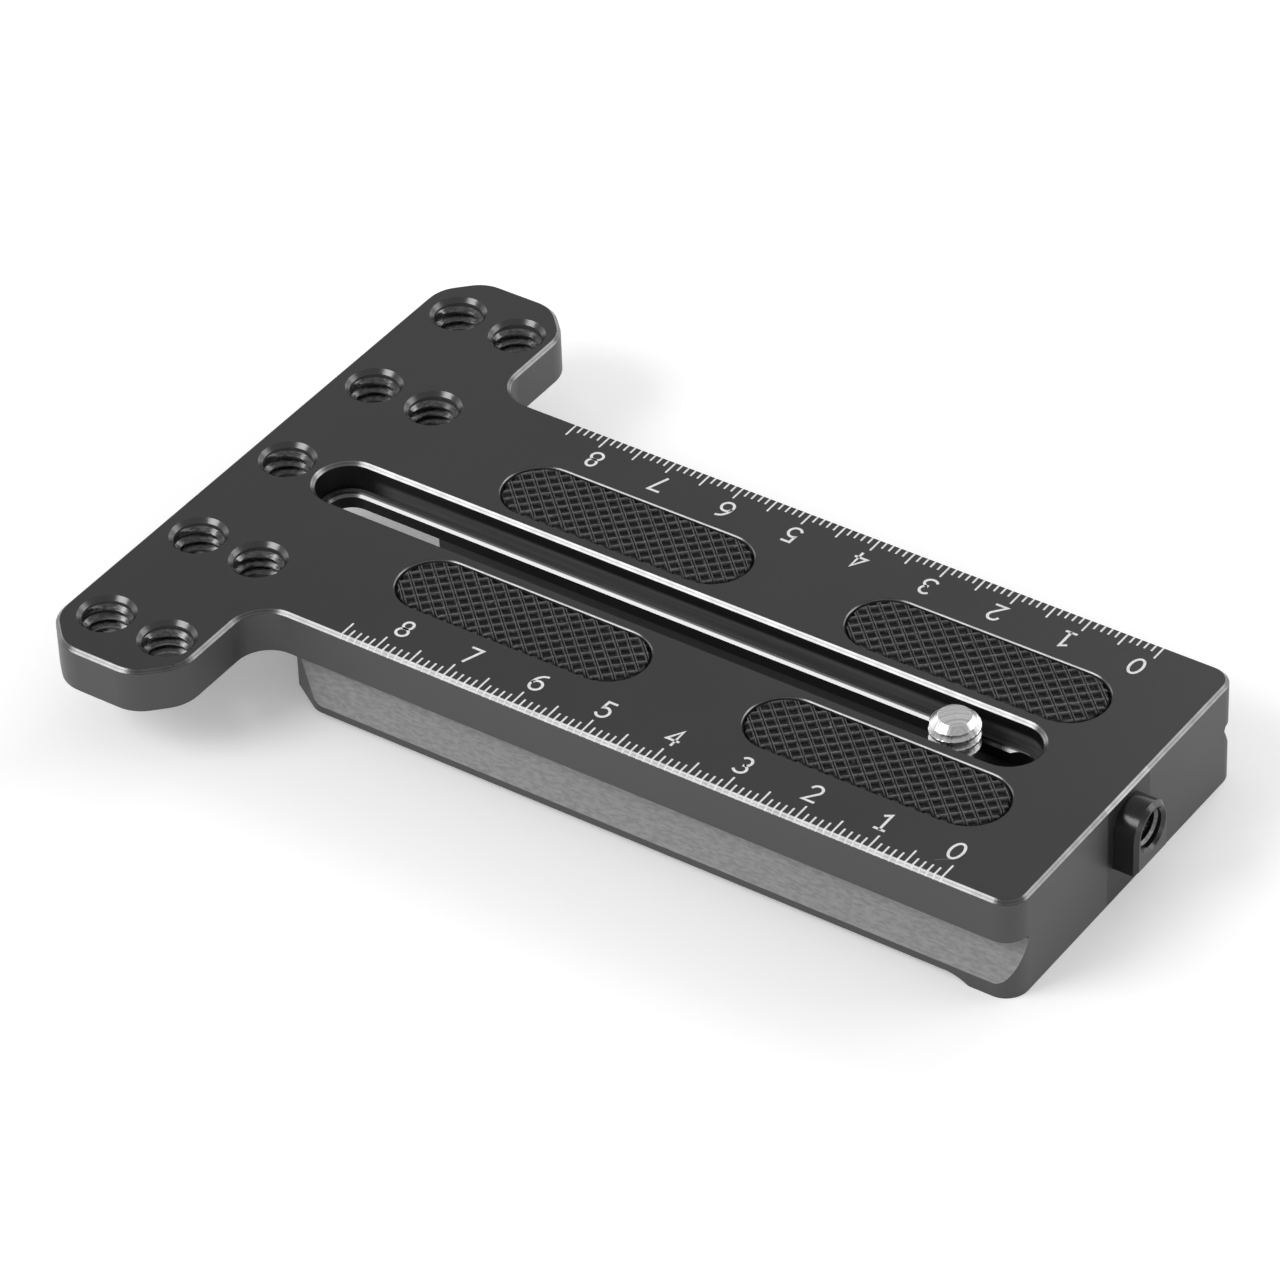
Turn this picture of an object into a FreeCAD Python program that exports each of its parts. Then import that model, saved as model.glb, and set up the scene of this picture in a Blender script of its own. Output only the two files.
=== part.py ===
"""Counterweight mounting plate for a camera stabiliser, in millimetres.

One machined aluminium plate with a wide drilled head, a dovetail rail below,
a stepped slot along its middle and a small tapped boss on its far end. Four
ribbed rubber pads lie in pockets beside the slot, and a quarter inch camera
screw is held captive in the slot.

X runs from the head to the boss, Y across the plate and Z up. The origin is
below the middle of the whole part, on the surface that the rail rests on.
"""
import FreeCAD
import Part
import Sketcher
import math
import os

Vector = FreeCAD.Vector

# Driving dimensions: alias, value in millimetres or a plain count, meaning
SIZES = [
    ("head_depth", 19.7, "head, along X"),
    ("head_span", 89.0, "head, across Y"),
    ("head_corner_cut", 4.6, "slanted corner of the head, each way"),
    ("head_corner_round", 5.2, "round at both ends of a slanted corner"),
    ("body_length", 107.5, "body from the head to its far end face"),
    ("body_width", 50.5, "body and rail, across Y"),
    ("neck_round", 4.5, "inner corner between head and body"),
    ("end_round", 3.0, "upright corners at the far end"),
    ("flange_thick", 6.1, "upper layer, head included"),
    ("rail_height", 8.4, "rail below the upper layer"),
    ("edge_bevel", 0.5, "bevel on the top edges"),
    ("rail_setback", 3.1, "rail's near end, behind the head's inner edge"),
    ("rail_corner_along", 4.85, "slanted corner at the rail's near end, along X"),
    ("rail_corner_across", 3.05, "slanted corner at the rail's near end, across Y"),
    ("rail_corner_round", 3.0, "round where that corner meets the rail's side"),
    ("rail_bevel", 1.0, "bevel under the rail"),
    ("rail_bevel_stop", 9.5, "length at the far end without that bevel"),
    ("bevel_tool_radius", 5.9, "wide end of the tool that cut the bevel"),
    ("bevel_tool_bite", 0.02, "that tool's end cut, deeper than the bevel"),
    ("lip_height", 2.0, "rail's lip below the dovetail groove"),
    ("groove_depth", 3.45, "dovetail groove at its root"),
    ("groove_root_relief", 0.6, "slant in the root of the groove"),
    ("cutter_margin", 3.0, "groove cutter's run past the body's side"),
    ("slot_near", 14.9, "near centre of the slot from the head's outer face"),
    ("slot_from_end", 16.4, "far centre of the slot from the end face"),
    ("slot_radius", 4.15, "upper slot, half its width"),
    ("ledge_depth", 4.0, "ledge in the slot below the top"),
    ("throat_radius", 3.0, "narrow slot below the ledge, half its width"),
    ("throat_bevel", 0.5, "bevel on the edge of the ledge"),
    ("entry_radius", 3.4, "round hole through which the screw went in"),
    ("recess_play", 0.5, "room round the screw's head in the rail"),
    ("pad_offset", 11.12, "middle line of a pad from the slot's"),
    ("pad_radius", 4.95, "pad, half its width"),
    ("pad_from_neck", 11.7, "near pad from the head's inner face"),
    ("pad_gap", 15.2, "between the two pads of a row"),
    ("pad_from_end", 10.0, "far pad from the end face"),
    ("pad_thick", 1.0, "pad"),
    ("pocket_play", 0.15, "room round a pad in its pocket"),
    ("pocket_bevel", 0.15, "bevel on a pocket's edge"),
    ("hole_radius", 3.175, "quarter inch thread, nominal"),
    ("hole_mouth_radius", 3.71, "countersink at the top"),
    ("hole_from_end", 7.84, "outermost holes from the head's ends"),
    ("hole_edge", 5.65, "outer row of holes from the head's outer face"),
    ("hole_row_gap", 9.14, "between the two rows of holes"),
    ("boss_reach", 3.3, "boss beyond the end face"),
    ("boss_half_width", 3.6, "boss, half its width"),
    ("boss_below_top", 4.7, "middle of the boss hole below the top"),
    ("boss_drop", 4.8, "flat foot of the boss below that middle"),
    ("boss_hole_radius", 2.5, "thread in the boss, nominal"),
    ("boss_mouth_radius", 2.9, "countersink of the boss hole"),
    ("boss_hole_depth", 9.0, "boss hole from the boss's face"),
    ("screw_from_far", 7.4, "screw from the slot's far centre"),
    ("screw_radius", 3.175, "camera screw thread, nominal"),
    ("screw_rise", 0.8, "screw tip above the top"),
    ("screw_tip_bevel", 1.1, "bevel round the screw's tip"),
    ("screw_neck_radius", 2.4, "plain neck below the thread"),
    ("screw_head_radius", 7.0, "screw head"),
    ("screw_head_thick", 3.6, "screw head"),
    ("screw_head_bevel", 0.4, "bevels of the screw head"),
    ("screw_clearance", 0.3, "screw head above the surface below"),
    ("coin_slot_width", 1.6, "slot across the screw head"),
    ("coin_slot_depth", 1.6, "slot across the screw head"),
    ("thread_seat_gap", 0.1, "thread above its seat in the ledge's bevel"),
]

# Lengths that follow from them: alias, expression, meaning
DERIVED = [
    ("near_x", "-(head_depth + body_length + boss_reach) / 2", "head's outer face"),
    ("neck_x", "near_x + head_depth", "head's inner face"),
    ("far_x", "neck_x + body_length", "end face"),
    ("rail_x", "neck_x + rail_setback", "rail's near end"),
    ("stop_x", "far_x - rail_bevel_stop", "end of the bevel under the rail"),
    ("top_z", "rail_height + flange_thick", "top face"),
    ("ledge_z", "top_z - ledge_depth", "ledge in the slot"),
    ("slot_a_x", "near_x + slot_near", "slot's near centre"),
    ("slot_b_x", "far_x - slot_from_end", "slot's far centre"),
    ("recess_radius", "screw_head_radius + recess_play", "recess in the rail, half its width"),
    ("pad_floor_z", "top_z - pad_thick", "floor of a pad pocket"),
    ("pad_length", "(body_length - pad_from_neck - pad_gap - pad_from_end) / 2", "pad, along X"),
    ("pad_b_x", "far_x - pad_from_end - pad_length / 2", "middle of a far pad"),
    ("pad_a_x", "pad_b_x - pad_length - pad_gap", "middle of a near pad"),
    ("pad_half_run", "pad_length / 2 - pad_radius", "pad's middle to an end's centre"),
    ("pocket_radius", "pad_radius + pocket_play", "pad pocket, half its width"),
    ("hole_a_x", "near_x + hole_edge", "outer row of holes"),
    ("hole_b_x", "hole_a_x + hole_row_gap", "inner row of holes"),
    ("hole_pitch", "(head_span / 2 - hole_from_end) / 2", "holes along Y"),
    ("mouth_bevel", "hole_mouth_radius - hole_radius", "countersink, each way"),
    ("boss_z", "top_z - boss_below_top", "middle of the boss hole"),
    ("boss_mouth_bevel", "boss_mouth_radius - boss_hole_radius", "countersink, each way"),
    ("boss_face_x", "far_x + boss_reach", "boss's outer face"),
    ("screw_x", "slot_b_x - screw_from_far", "screw's axis"),
    ("screw_tip_z", "top_z + screw_rise", "screw's tip"),
    ("thread_seat_z", "ledge_z - throat_bevel - throat_radius + screw_radius", "seat in the bevel"),
    ("thread_foot_z", "thread_seat_z + thread_seat_gap", "lower end of the screw's thread"),
]

TOLERANCE = 1e-4

doc = FreeCAD.newDocument("counterweight_mounting_plate")
sheet = doc.addObject("Spreadsheet::Sheet", "sizes")


def fill_sheet():
    """Write the driving and derived dimensions into the spreadsheet."""
    row = 1
    for alias, value, meaning in SIZES:
        sheet.set(f"A{row}", meaning)
        sheet.set(f"B{row}", str(value))
        sheet.setAlias(f"B{row}", alias)
        row += 1
    for alias, expression, meaning in DERIVED:
        sheet.set(f"A{row}", meaning)
        sheet.set(f"B{row}", "=" + expression)
        sheet.setAlias(f"B{row}", alias)
        row += 1
    doc.recompute()


def size(alias):
    """Value of one cell of the sheet."""
    return float(getattr(sheet, alias))


def bound(expression):
    """The expression with each alias read from the sheet."""
    words = []
    word = ""
    for letter in expression + " ":
        if letter.isalnum() or letter == "_":
            word += letter
            continue
        words.append("sizes." + word if word[:1].isalpha() else word)
        words.append(letter)
        word = ""
    return "".join(words).strip()


def value_of(expression):
    """Number that an expression in the aliases gives now."""
    return float(sheet.evalExpression(expression))


def origin_plane(body, role):
    """One of the body's own base planes."""
    return next(item for item in body.Origin.OriginFeatures if item.Role == role)


def new_sketch(body, name, role, offset="0"):
    """Empty sketch on a base plane, raised by an expression."""
    sketch = body.newObject("Sketcher::SketchObject", name)
    sketch.AttachmentSupport = [(origin_plane(body, role), "")]
    sketch.MapMode = "FlatFace"
    sketch.setExpression("AttachmentOffset.Base.z", bound(offset))
    return sketch


def pin(sketch, kind, geometry, point, expression):
    """Hold a point's X or Y distance from the origin to an expression."""
    index = sketch.addConstraint(
        Sketcher.Constraint(kind, -1, 1, geometry, point, value_of(expression)))
    sketch.setExpression(f"Constraints[{index}]", bound(expression))


def polygon(sketch, corners):
    """Closed outline through corners given as pairs of expressions."""
    points = [Vector(value_of(across), value_of(up), 0) for across, up in corners]
    first = sketch.GeometryCount
    count = len(points)
    for index in range(count):
        sketch.addGeometry(Part.LineSegment(points[index], points[(index + 1) % count]), False)
    for index in range(count):
        sketch.addConstraint(
            Sketcher.Constraint("Coincident", first + index, 2, first + (index + 1) % count, 1))
    for index, (across, up) in enumerate(corners):
        pin(sketch, "DistanceX", first + index, 1, across)
        pin(sketch, "DistanceY", first + index, 1, up)


def circle(sketch, across, up, radius):
    """Circle whose centre and radius are expressions."""
    centre = Vector(value_of(across), value_of(up), 0)
    index = sketch.addGeometry(Part.Circle(centre, Vector(0, 0, 1), value_of(radius)), False)
    pin(sketch, "DistanceX", index, 3, across)
    pin(sketch, "DistanceY", index, 3, up)
    held = sketch.addConstraint(Sketcher.Constraint("Radius", index, value_of(radius)))
    sketch.setExpression(f"Constraints[{held}]", bound(radius))


def stadium(sketch, left, right, up, radius):
    """Slot outline along X between two end centres."""
    x_left = value_of(left)
    x_right = value_of(right)
    y_mid = value_of(up)
    reach = value_of(radius)
    normal = Vector(0, 0, 1)
    left_circle = Part.Circle(Vector(x_left, y_mid, 0), normal, reach)
    right_circle = Part.Circle(Vector(x_right, y_mid, 0), normal, reach)
    near = sketch.addGeometry(Part.ArcOfCircle(left_circle, math.pi / 2, math.pi * 1.5), False)
    far = sketch.addGeometry(Part.ArcOfCircle(right_circle, -math.pi / 2, math.pi / 2), False)
    low = sketch.addGeometry(Part.LineSegment(
        Vector(x_left, y_mid - reach, 0), Vector(x_right, y_mid - reach, 0)), False)
    high = sketch.addGeometry(Part.LineSegment(
        Vector(x_right, y_mid + reach, 0), Vector(x_left, y_mid + reach, 0)), False)
    sketch.addConstraint(Sketcher.Constraint("Tangent", near, 2, low, 1))
    sketch.addConstraint(Sketcher.Constraint("Tangent", low, 2, far, 1))
    sketch.addConstraint(Sketcher.Constraint("Tangent", far, 2, high, 1))
    sketch.addConstraint(Sketcher.Constraint("Tangent", high, 2, near, 1))
    sketch.addConstraint(Sketcher.Constraint("Equal", near, far))
    pin(sketch, "DistanceX", near, 3, left)
    pin(sketch, "DistanceY", near, 3, up)
    pin(sketch, "DistanceX", far, 3, right)
    held = sketch.addConstraint(Sketcher.Constraint("Radius", near, reach))
    sketch.setExpression(f"Constraints[{held}]", bound(radius))


def extrude(body, kind, name, sketch, length):
    """Pad or pocket of a sketch along its plane's normal."""
    feature = body.newObject(kind, name)
    feature.Profile = sketch
    sketch.Visibility = False
    feature.setExpression("Length", bound(length))
    if kind == "PartDesign::Pocket":
        feature.Reversed = True
    doc.recompute()
    return feature


def pad(body, name, sketch, length):
    """Material added upward from a sketch."""
    return extrude(body, "PartDesign::Pad", name, sketch, length)


def pocket(body, name, sketch, length):
    """Material taken away upward from a sketch, which has to lessen the body."""
    before = body.Shape.Volume
    feature = extrude(body, "PartDesign::Pocket", name, sketch, length)
    if body.Shape.Volume > before - TOLERANCE:
        raise RuntimeError(f"{name} cuts nothing")
    return feature


def edges_where(body, test):
    """Names of the tip's edges whose ends and middle pass a test."""
    names = []
    for index, edge in enumerate(body.Shape.Edges, start=1):
        middle = edge.valueAt((edge.FirstParameter + edge.LastParameter) / 2)
        points = [vertex.Point for vertex in edge.Vertexes] + [middle]
        if all(test(point) for point in points):
            names.append(f"Edge{index}")
    return names


def dress(body, kind, name, test, alias):
    """Fillet or chamfer on the edges that pass a test."""
    names = edges_where(body, test)
    if not names:
        raise RuntimeError(f"{name} finds no edge")
    feature = body.newObject(kind, name)
    feature.Base = (body.Tip if body.Tip != feature else feature.BaseFeature, names)
    feature.setExpression("Radius" if kind == "PartDesign::Fillet" else "Size", bound(alias))
    doc.recompute()
    return feature


def near_to(first, second):
    """True where two lengths agree."""
    return abs(first - second) < 1e-3


def upright_at(x_place, y_place):
    """Test for upright edges at one X and either side of the middle."""
    return lambda point: near_to(point.x, x_place) and near_to(abs(point.y), y_place)


def cut_bevel_runout(body, side):
    """Cone left where the bevel tool stopped, on one side of the rail."""
    word = "Back" if side > 0 else "Front"
    cone = body.newObject("PartDesign::SubtractiveCone", f"RailBevelRunout{word}")
    cone.setExpression("Radius1", bound("bevel_tool_radius + bevel_tool_bite + rail_bevel"))
    cone.setExpression("Radius2", bound("bevel_tool_radius + bevel_tool_bite - 2 * rail_bevel"))
    cone.setExpression("Height", bound("3 * rail_bevel"))
    cone.setExpression("Placement.Base.x", bound("stop_x"))
    cone.setExpression("Placement.Base.z", bound("-rail_bevel"))
    reach = "body_width / 2 - rail_bevel + bevel_tool_radius"
    cone.setExpression("Placement.Base.y", bound(reach if side > 0 else f"-({reach})"))
    doc.recompute()


def rectangle(sketch, left, right, half_width):
    """Rectangle that is even about the X axis."""
    polygon(sketch, [
        (left, f"-({half_width})"), (right, f"-({half_width})"),
        (right, half_width), (left, half_width)])


def build_blank(body):
    """Rail, upper layer and head, with their corners and edges."""
    half = "body_width / 2"
    sketch = new_sketch(body, "RailOutline", "XY_Plane")
    narrow = f"{half} - rail_corner_across"
    corner = "rail_x + rail_corner_along"
    polygon(sketch, [
        ("rail_x", f"-({narrow})"), (corner, f"-({half})"), ("stop_x", f"-({half})"),
        ("stop_x", half), (corner, half), ("rail_x", narrow)])
    pad(body, "Rail", sketch, "rail_height")
    dress(body, "PartDesign::Fillet", "RailCorners",
          upright_at(size("rail_x") + size("rail_corner_along"), size("body_width") / 2),
          "rail_corner_round")
    dress(body, "PartDesign::Chamfer", "RailBevel",
          lambda point: near_to(point.z, 0) and point.x < size("stop_x") + TOLERANCE
          and not (near_to(point.x, size("stop_x")) and abs(point.y) < size("body_width") / 2 - 1e-3),
          "rail_bevel")

    sketch = new_sketch(body, "EndBlockOutline", "XY_Plane")
    rectangle(sketch, "stop_x", "far_x", half)
    pad(body, "EndBlock", sketch, "rail_height")

    sketch = new_sketch(body, "BodyOutline", "XY_Plane", "rail_height")
    rectangle(sketch, "near_x + head_depth / 2", "far_x", half)
    pad(body, "BodyLayer", sketch, "flange_thick")

    sketch = new_sketch(body, "HeadOutline", "XY_Plane", "rail_height")
    rectangle(sketch, "near_x", "neck_x", "head_span / 2")
    pad(body, "Head", sketch, "flange_thick")

    end = upright_at(size("far_x"), size("body_width") / 2)
    dress(body, "PartDesign::Fillet", "EndCorners", end, "end_round")
    neck = upright_at(size("neck_x"), size("body_width") / 2)
    dress(body, "PartDesign::Fillet", "NeckCorners",
          lambda point: neck(point) and point.z > size("rail_height") - 1e-3, "neck_round")

    half_span = size("head_span") / 2
    cut = size("head_corner_cut")
    dress(body, "PartDesign::Chamfer", "HeadCornerCuts",
          lambda point: near_to(abs(point.y), half_span) and (
              near_to(point.x, size("near_x")) or near_to(point.x, size("neck_x"))),
          "head_corner_cut")

    def on_cut_corner(point):
        """Upright edges at either end of a slanted corner."""
        at_side = near_to(abs(point.y), half_span) and (
            near_to(point.x, size("near_x") + cut) or near_to(point.x, size("neck_x") - cut))
        at_face = near_to(abs(point.y), half_span - cut) and (
            near_to(point.x, size("near_x")) or near_to(point.x, size("neck_x")))
        return at_side or at_face

    dress(body, "PartDesign::Fillet", "HeadCornerRounds", on_cut_corner, "head_corner_round")
    dress(body, "PartDesign::Chamfer", "TopEdges",
          lambda point: near_to(point.z, size("top_z")), "edge_bevel")
    cut_bevel_runout(body, -1)
    cut_bevel_runout(body, 1)


def cut_groove(body, side):
    """Dovetail groove along one side of the rail."""
    word = "Back" if side > 0 else "Front"
    sign = "" if side > 0 else "-"
    outside = f"{sign}(body_width / 2 + cutter_margin)"
    edge = f"{sign}(body_width / 2)"
    relief = "groove_depth * groove_root_relief / (rail_height - lip_height)"
    sketch = new_sketch(body, f"GrooveSection{word}", "YZ_Plane", "near_x")
    polygon(sketch, [
        (outside, "rail_height"),
        (f"{sign}(body_width / 2 - groove_depth + groove_root_relief)", "rail_height"),
        (f"{sign}(body_width / 2 - groove_depth + {relief})", "rail_height - groove_root_relief"),
        (edge, "lip_height"),
        (outside, "lip_height")])
    pocket(body, f"Groove{word}", sketch, "head_depth + body_length + boss_reach")


def cut_slot(body):
    """Stepped slot, its ledge, the screw's entry hole and the recess below."""
    sketch = new_sketch(body, "SlotOutline", "XY_Plane", "ledge_z")
    stadium(sketch, "slot_a_x", "slot_b_x", "0", "slot_radius")
    pocket(body, "Slot", sketch, "ledge_depth")
    reach = size("slot_radius")
    dress(body, "PartDesign::Chamfer", "SlotEdge",
          lambda point: near_to(point.z, size("top_z")) and abs(point.y) < reach + 1e-3
          and size("slot_a_x") - reach - 1e-3 < point.x < size("slot_b_x") + reach + 1e-3,
          "edge_bevel")

    sketch = new_sketch(body, "RecessOutline", "XY_Plane")
    stadium(sketch, "slot_a_x", "slot_b_x", "0", "recess_radius")
    pocket(body, "Recess", sketch, "rail_height")

    sketch = new_sketch(body, "ThroatOutline", "XY_Plane", "rail_height")
    stadium(sketch, "slot_a_x", "slot_b_x", "0", "throat_radius")
    pocket(body, "Throat", sketch, "ledge_z - rail_height")
    dress(body, "PartDesign::Chamfer", "ThroatEdge",
          lambda point: near_to(point.z, size("ledge_z")) and abs(point.y) < size("throat_radius") + 1e-3,
          "throat_bevel")

    sketch = new_sketch(body, "EntryOutline", "XY_Plane", "rail_height")
    circle(sketch, "slot_b_x", "0", "entry_radius")
    pocket(body, "Entry", sketch, "ledge_z - rail_height")


def cut_pad_pockets(body):
    """Four shallow pockets for the rubber pads."""
    sketch = new_sketch(body, "PocketOutlines", "XY_Plane", "pad_floor_z")
    for middle in ("pad_a_x", "pad_b_x"):
        for offset in ("-pad_offset", "pad_offset"):
            stadium(sketch, f"{middle} - pad_half_run", f"{middle} + pad_half_run",
                    offset, "pocket_radius")
    pocket(body, "PadPockets", sketch, "pad_thick")
    inner = size("pad_offset") - size("pocket_radius")
    outer = size("pad_offset") + size("pocket_radius")
    dress(body, "PartDesign::Chamfer", "PocketEdges",
          lambda point: near_to(point.z, size("top_z")) and inner - 1e-3 < abs(point.y) < outer + 1e-3
          and point.x > size("pad_a_x") - size("pad_length")
          and point.x < size("far_x") - size("edge_bevel") - 1e-3,
          "pocket_bevel")


def drill_head(body):
    """Nine tapped holes in two rows, with the slot in place of the tenth."""
    places = [("hole_a_x", step) for step in (-2, -1, 0, 1, 2)]
    places += [("hole_b_x", step) for step in (-2, -1, 1, 2)]
    sketch = new_sketch(body, "HeadHoleCentres", "XY_Plane", "rail_height")
    for across, step in places:
        circle(sketch, across, f"({step}) * hole_pitch", "hole_radius")
    pocket(body, "HeadHoles", sketch, "flange_thick")

    def at_a_hole(point):
        """Top edge of one of the holes."""
        if not near_to(point.z, size("top_z")):
            return False
        return any(
            abs((point - Vector(size(across), step * size("hole_pitch"), point.z)).Length
                - size("hole_radius")) < 1e-2
            for across, step in places)

    dress(body, "PartDesign::Chamfer", "HeadHoleMouths", at_a_hole, "mouth_bevel")


def add_boss(body):
    """Arched boss on the end face, with its tapped hole."""
    sketch = new_sketch(body, "BossOutline", "YZ_Plane", "far_x")
    middle = Vector(0, size("boss_z"), 0)
    half = size("boss_half_width")
    arch = Part.ArcOfCircle(Part.Circle(middle, Vector(0, 0, 1), half), 0, math.pi)
    foot = size("boss_z") - size("boss_drop")
    sketch.addGeometry(arch, False)
    sketch.addGeometry(Part.LineSegment(Vector(-half, middle.y, 0), Vector(-half, foot, 0)), False)
    sketch.addGeometry(Part.LineSegment(Vector(-half, foot, 0), Vector(half, foot, 0)), False)
    sketch.addGeometry(Part.LineSegment(Vector(half, foot, 0), Vector(half, middle.y, 0)), False)
    sketch.addConstraint(Sketcher.Constraint("Tangent", 0, 2, 1, 1))
    sketch.addConstraint(Sketcher.Constraint("Coincident", 1, 2, 2, 1))
    sketch.addConstraint(Sketcher.Constraint("Coincident", 2, 2, 3, 1))
    sketch.addConstraint(Sketcher.Constraint("Tangent", 3, 2, 0, 1))
    sketch.addConstraint(Sketcher.Constraint("Horizontal", 2))
    pin(sketch, "DistanceX", 0, 3, "0")
    pin(sketch, "DistanceY", 0, 3, "boss_z")
    pin(sketch, "DistanceY", 1, 2, "boss_z - boss_drop")
    held = sketch.addConstraint(Sketcher.Constraint("Radius", 0, half))
    sketch.setExpression(f"Constraints[{held}]", bound("boss_half_width"))
    pad(body, "Boss", sketch, "boss_reach")
    dress(body, "PartDesign::Chamfer", "BossEdge",
          lambda point: near_to(point.x, size("boss_face_x")), "edge_bevel")

    sketch = new_sketch(body, "BossHoleCentre", "YZ_Plane", "boss_face_x - boss_hole_depth")
    circle(sketch, "0", "boss_z", "boss_hole_radius")
    pocket(body, "BossHole", sketch, "boss_hole_depth")
    centre = Vector(size("boss_face_x"), 0, size("boss_z"))
    dress(body, "PartDesign::Chamfer", "BossHoleMouth",
          lambda point: near_to(point.x, centre.x)
          and abs((point - centre).Length - size("boss_hole_radius")) < 1e-2,
          "boss_mouth_bevel")


def build_plate():
    """The machined plate."""
    body = doc.addObject("PartDesign::Body", "plate")
    body.Label = "plate"
    build_blank(body)
    cut_groove(body, -1)
    cut_groove(body, 1)
    cut_slot(body)
    cut_pad_pockets(body)
    drill_head(body)
    add_boss(body)
    return body


def build_pad(name, middle, side):
    """One rubber pad that fills its pocket up to the top face."""
    body = doc.addObject("PartDesign::Body", name)
    body.Label = name
    sketch = new_sketch(body, f"{name}_outline", "XY_Plane", "pad_floor_z")
    stadium(sketch, f"{middle} - pad_half_run", f"{middle} + pad_half_run",
            f"{side}pad_offset", "pad_radius")
    pad(body, f"{name}_rubber", sketch, "pad_thick")
    return body


def build_screw():
    """Captive camera screw: slotted head, thin neck and a short thread."""
    body = doc.addObject("PartDesign::Body", "camera_screw")
    body.Label = "camera_screw"
    head_top = "screw_clearance + screw_head_thick"
    sketch = new_sketch(body, "ScrewSection", "XZ_Plane")
    polygon(sketch, [
        ("0", "screw_clearance"),
        ("screw_head_radius - screw_head_bevel", "screw_clearance"),
        ("screw_head_radius", "screw_clearance + screw_head_bevel"),
        ("screw_head_radius", f"{head_top} - screw_head_bevel"),
        ("screw_head_radius - screw_head_bevel", head_top),
        ("screw_neck_radius", head_top),
        ("screw_neck_radius", "thread_foot_z"),
        ("screw_radius", "thread_foot_z"),
        ("screw_radius", "screw_tip_z - screw_tip_bevel"),
        ("screw_radius - screw_tip_bevel", "screw_tip_z"),
        ("0", "screw_tip_z")])
    turned = body.newObject("PartDesign::Revolution", "ScrewTurned")
    turned.Profile = sketch
    turned.ReferenceAxis = (sketch, ["V_Axis"])
    turned.Angle = 360
    sketch.Visibility = False
    doc.recompute()

    sketch = new_sketch(body, "CoinSlotOutline", "XY_Plane", "screw_clearance")
    rectangle(sketch, "-(screw_head_radius + recess_play)", "screw_head_radius + recess_play",
              "coin_slot_width / 2")
    pocket(body, "CoinSlot", sketch, "coin_slot_depth")
    body.setExpression("Placement.Base.x", bound("screw_x"))
    doc.recompute()
    return body


def check_document():
    """Stop if a feature failed to build."""
    for item in doc.Objects:
        if "Invalid" in item.State or "Error" in item.State:
            raise RuntimeError(f"{item.Name} failed: {item.State}")


def export_bodies(bodies):
    """Write each piece to its own file, once every one of them is sound."""
    for body in bodies:
        shape = body.Shape
        if shape.isNull() or not shape.isValid() or len(shape.Solids) != 1:
            raise RuntimeError(f"{body.Label} is not one sound solid")
    os.makedirs("parts", exist_ok=True)
    for body in bodies:
        shape = body.Shape
        shape.exportStep(f"parts/{body.Label}.step")
        box = shape.BoundBox
        print(f"{body.Label}: {shape.Volume:.1f} mm3, X {box.XMin:.2f} to {box.XMax:.2f}, "
              f"Y {box.YMin:.2f} to {box.YMax:.2f}, Z {box.ZMin:.2f} to {box.ZMax:.2f}")


fill_sheet()
pieces = [build_plate()]
for end_word, end_middle in (("near", "pad_a_x"), ("far", "pad_b_x")):
    for side_word, side_sign in (("front", "-"), ("back", "")):
        pieces.append(build_pad(f"pad_{end_word}_{side_word}", end_middle, side_sign))
pieces.append(build_screw())
doc.recompute()
check_document()
export_bodies(pieces)
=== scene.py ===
"""Dresses the counterweight mounting plate for its picture, in metres.

The machined plate keeps its solid and gets its finish here. The threads, the
ribbed rubber pads, the printed millimetre scale and the turned camera screw
are modelled in this file. X runs from the drilled head to the boss, Y across
the plate and Z up, with the rail resting on the floor at zero.
"""
from __future__ import annotations

import logging
import math
from dataclasses import dataclass, field, replace
from enum import Enum
from typing import Callable, Iterable, Sequence, Union

import bmesh
import bpy
from mathutils import Euler, Matrix, Vector

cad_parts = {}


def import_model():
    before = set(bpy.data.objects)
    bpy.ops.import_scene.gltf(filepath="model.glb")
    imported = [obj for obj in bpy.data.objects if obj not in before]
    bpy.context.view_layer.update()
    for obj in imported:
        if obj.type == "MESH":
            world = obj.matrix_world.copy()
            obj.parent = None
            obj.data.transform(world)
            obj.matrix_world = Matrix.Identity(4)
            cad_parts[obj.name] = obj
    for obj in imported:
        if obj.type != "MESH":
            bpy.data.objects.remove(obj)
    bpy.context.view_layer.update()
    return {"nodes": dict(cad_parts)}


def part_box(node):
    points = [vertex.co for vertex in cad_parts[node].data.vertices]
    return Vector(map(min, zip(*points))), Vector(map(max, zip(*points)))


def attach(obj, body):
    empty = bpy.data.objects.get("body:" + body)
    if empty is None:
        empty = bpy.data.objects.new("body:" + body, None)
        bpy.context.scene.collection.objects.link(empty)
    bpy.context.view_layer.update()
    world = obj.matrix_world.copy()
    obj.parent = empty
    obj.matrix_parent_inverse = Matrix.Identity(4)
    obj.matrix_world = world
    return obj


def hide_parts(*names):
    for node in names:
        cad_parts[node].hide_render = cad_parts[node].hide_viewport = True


LOG = logging.getLogger("mounting_plate")
MM = 0.001
ROOT_BODY = "root"
SCREW_BODY = "screw"

Point = tuple[float, float, float]
Span = tuple[float, float]
Ring = list[bmesh.types.BMVert]
Stroke = list[tuple[float, float]]
Level = Union[float, bpy.types.NodeSocket]

WHITE = (1.0, 1.0, 1.0, 1.0)
# Part of a noise's range that most of its surface has.
NOISE_SPAN: Span = (0.3, 0.7)
# Whole rib gaps added before a fraction is taken, so that it is never below zero.
WHOLE_RIBS = 100.0
# Edges of threads that are flatter than this many degrees shade smooth.
THREAD_SMOOTH = 40.0


class Slot(Enum):
    """Material slots of the record."""

    BODY = "anodised_body"
    RUBBER = "pad_rubber"
    STEEL = "screw_steel"


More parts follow.
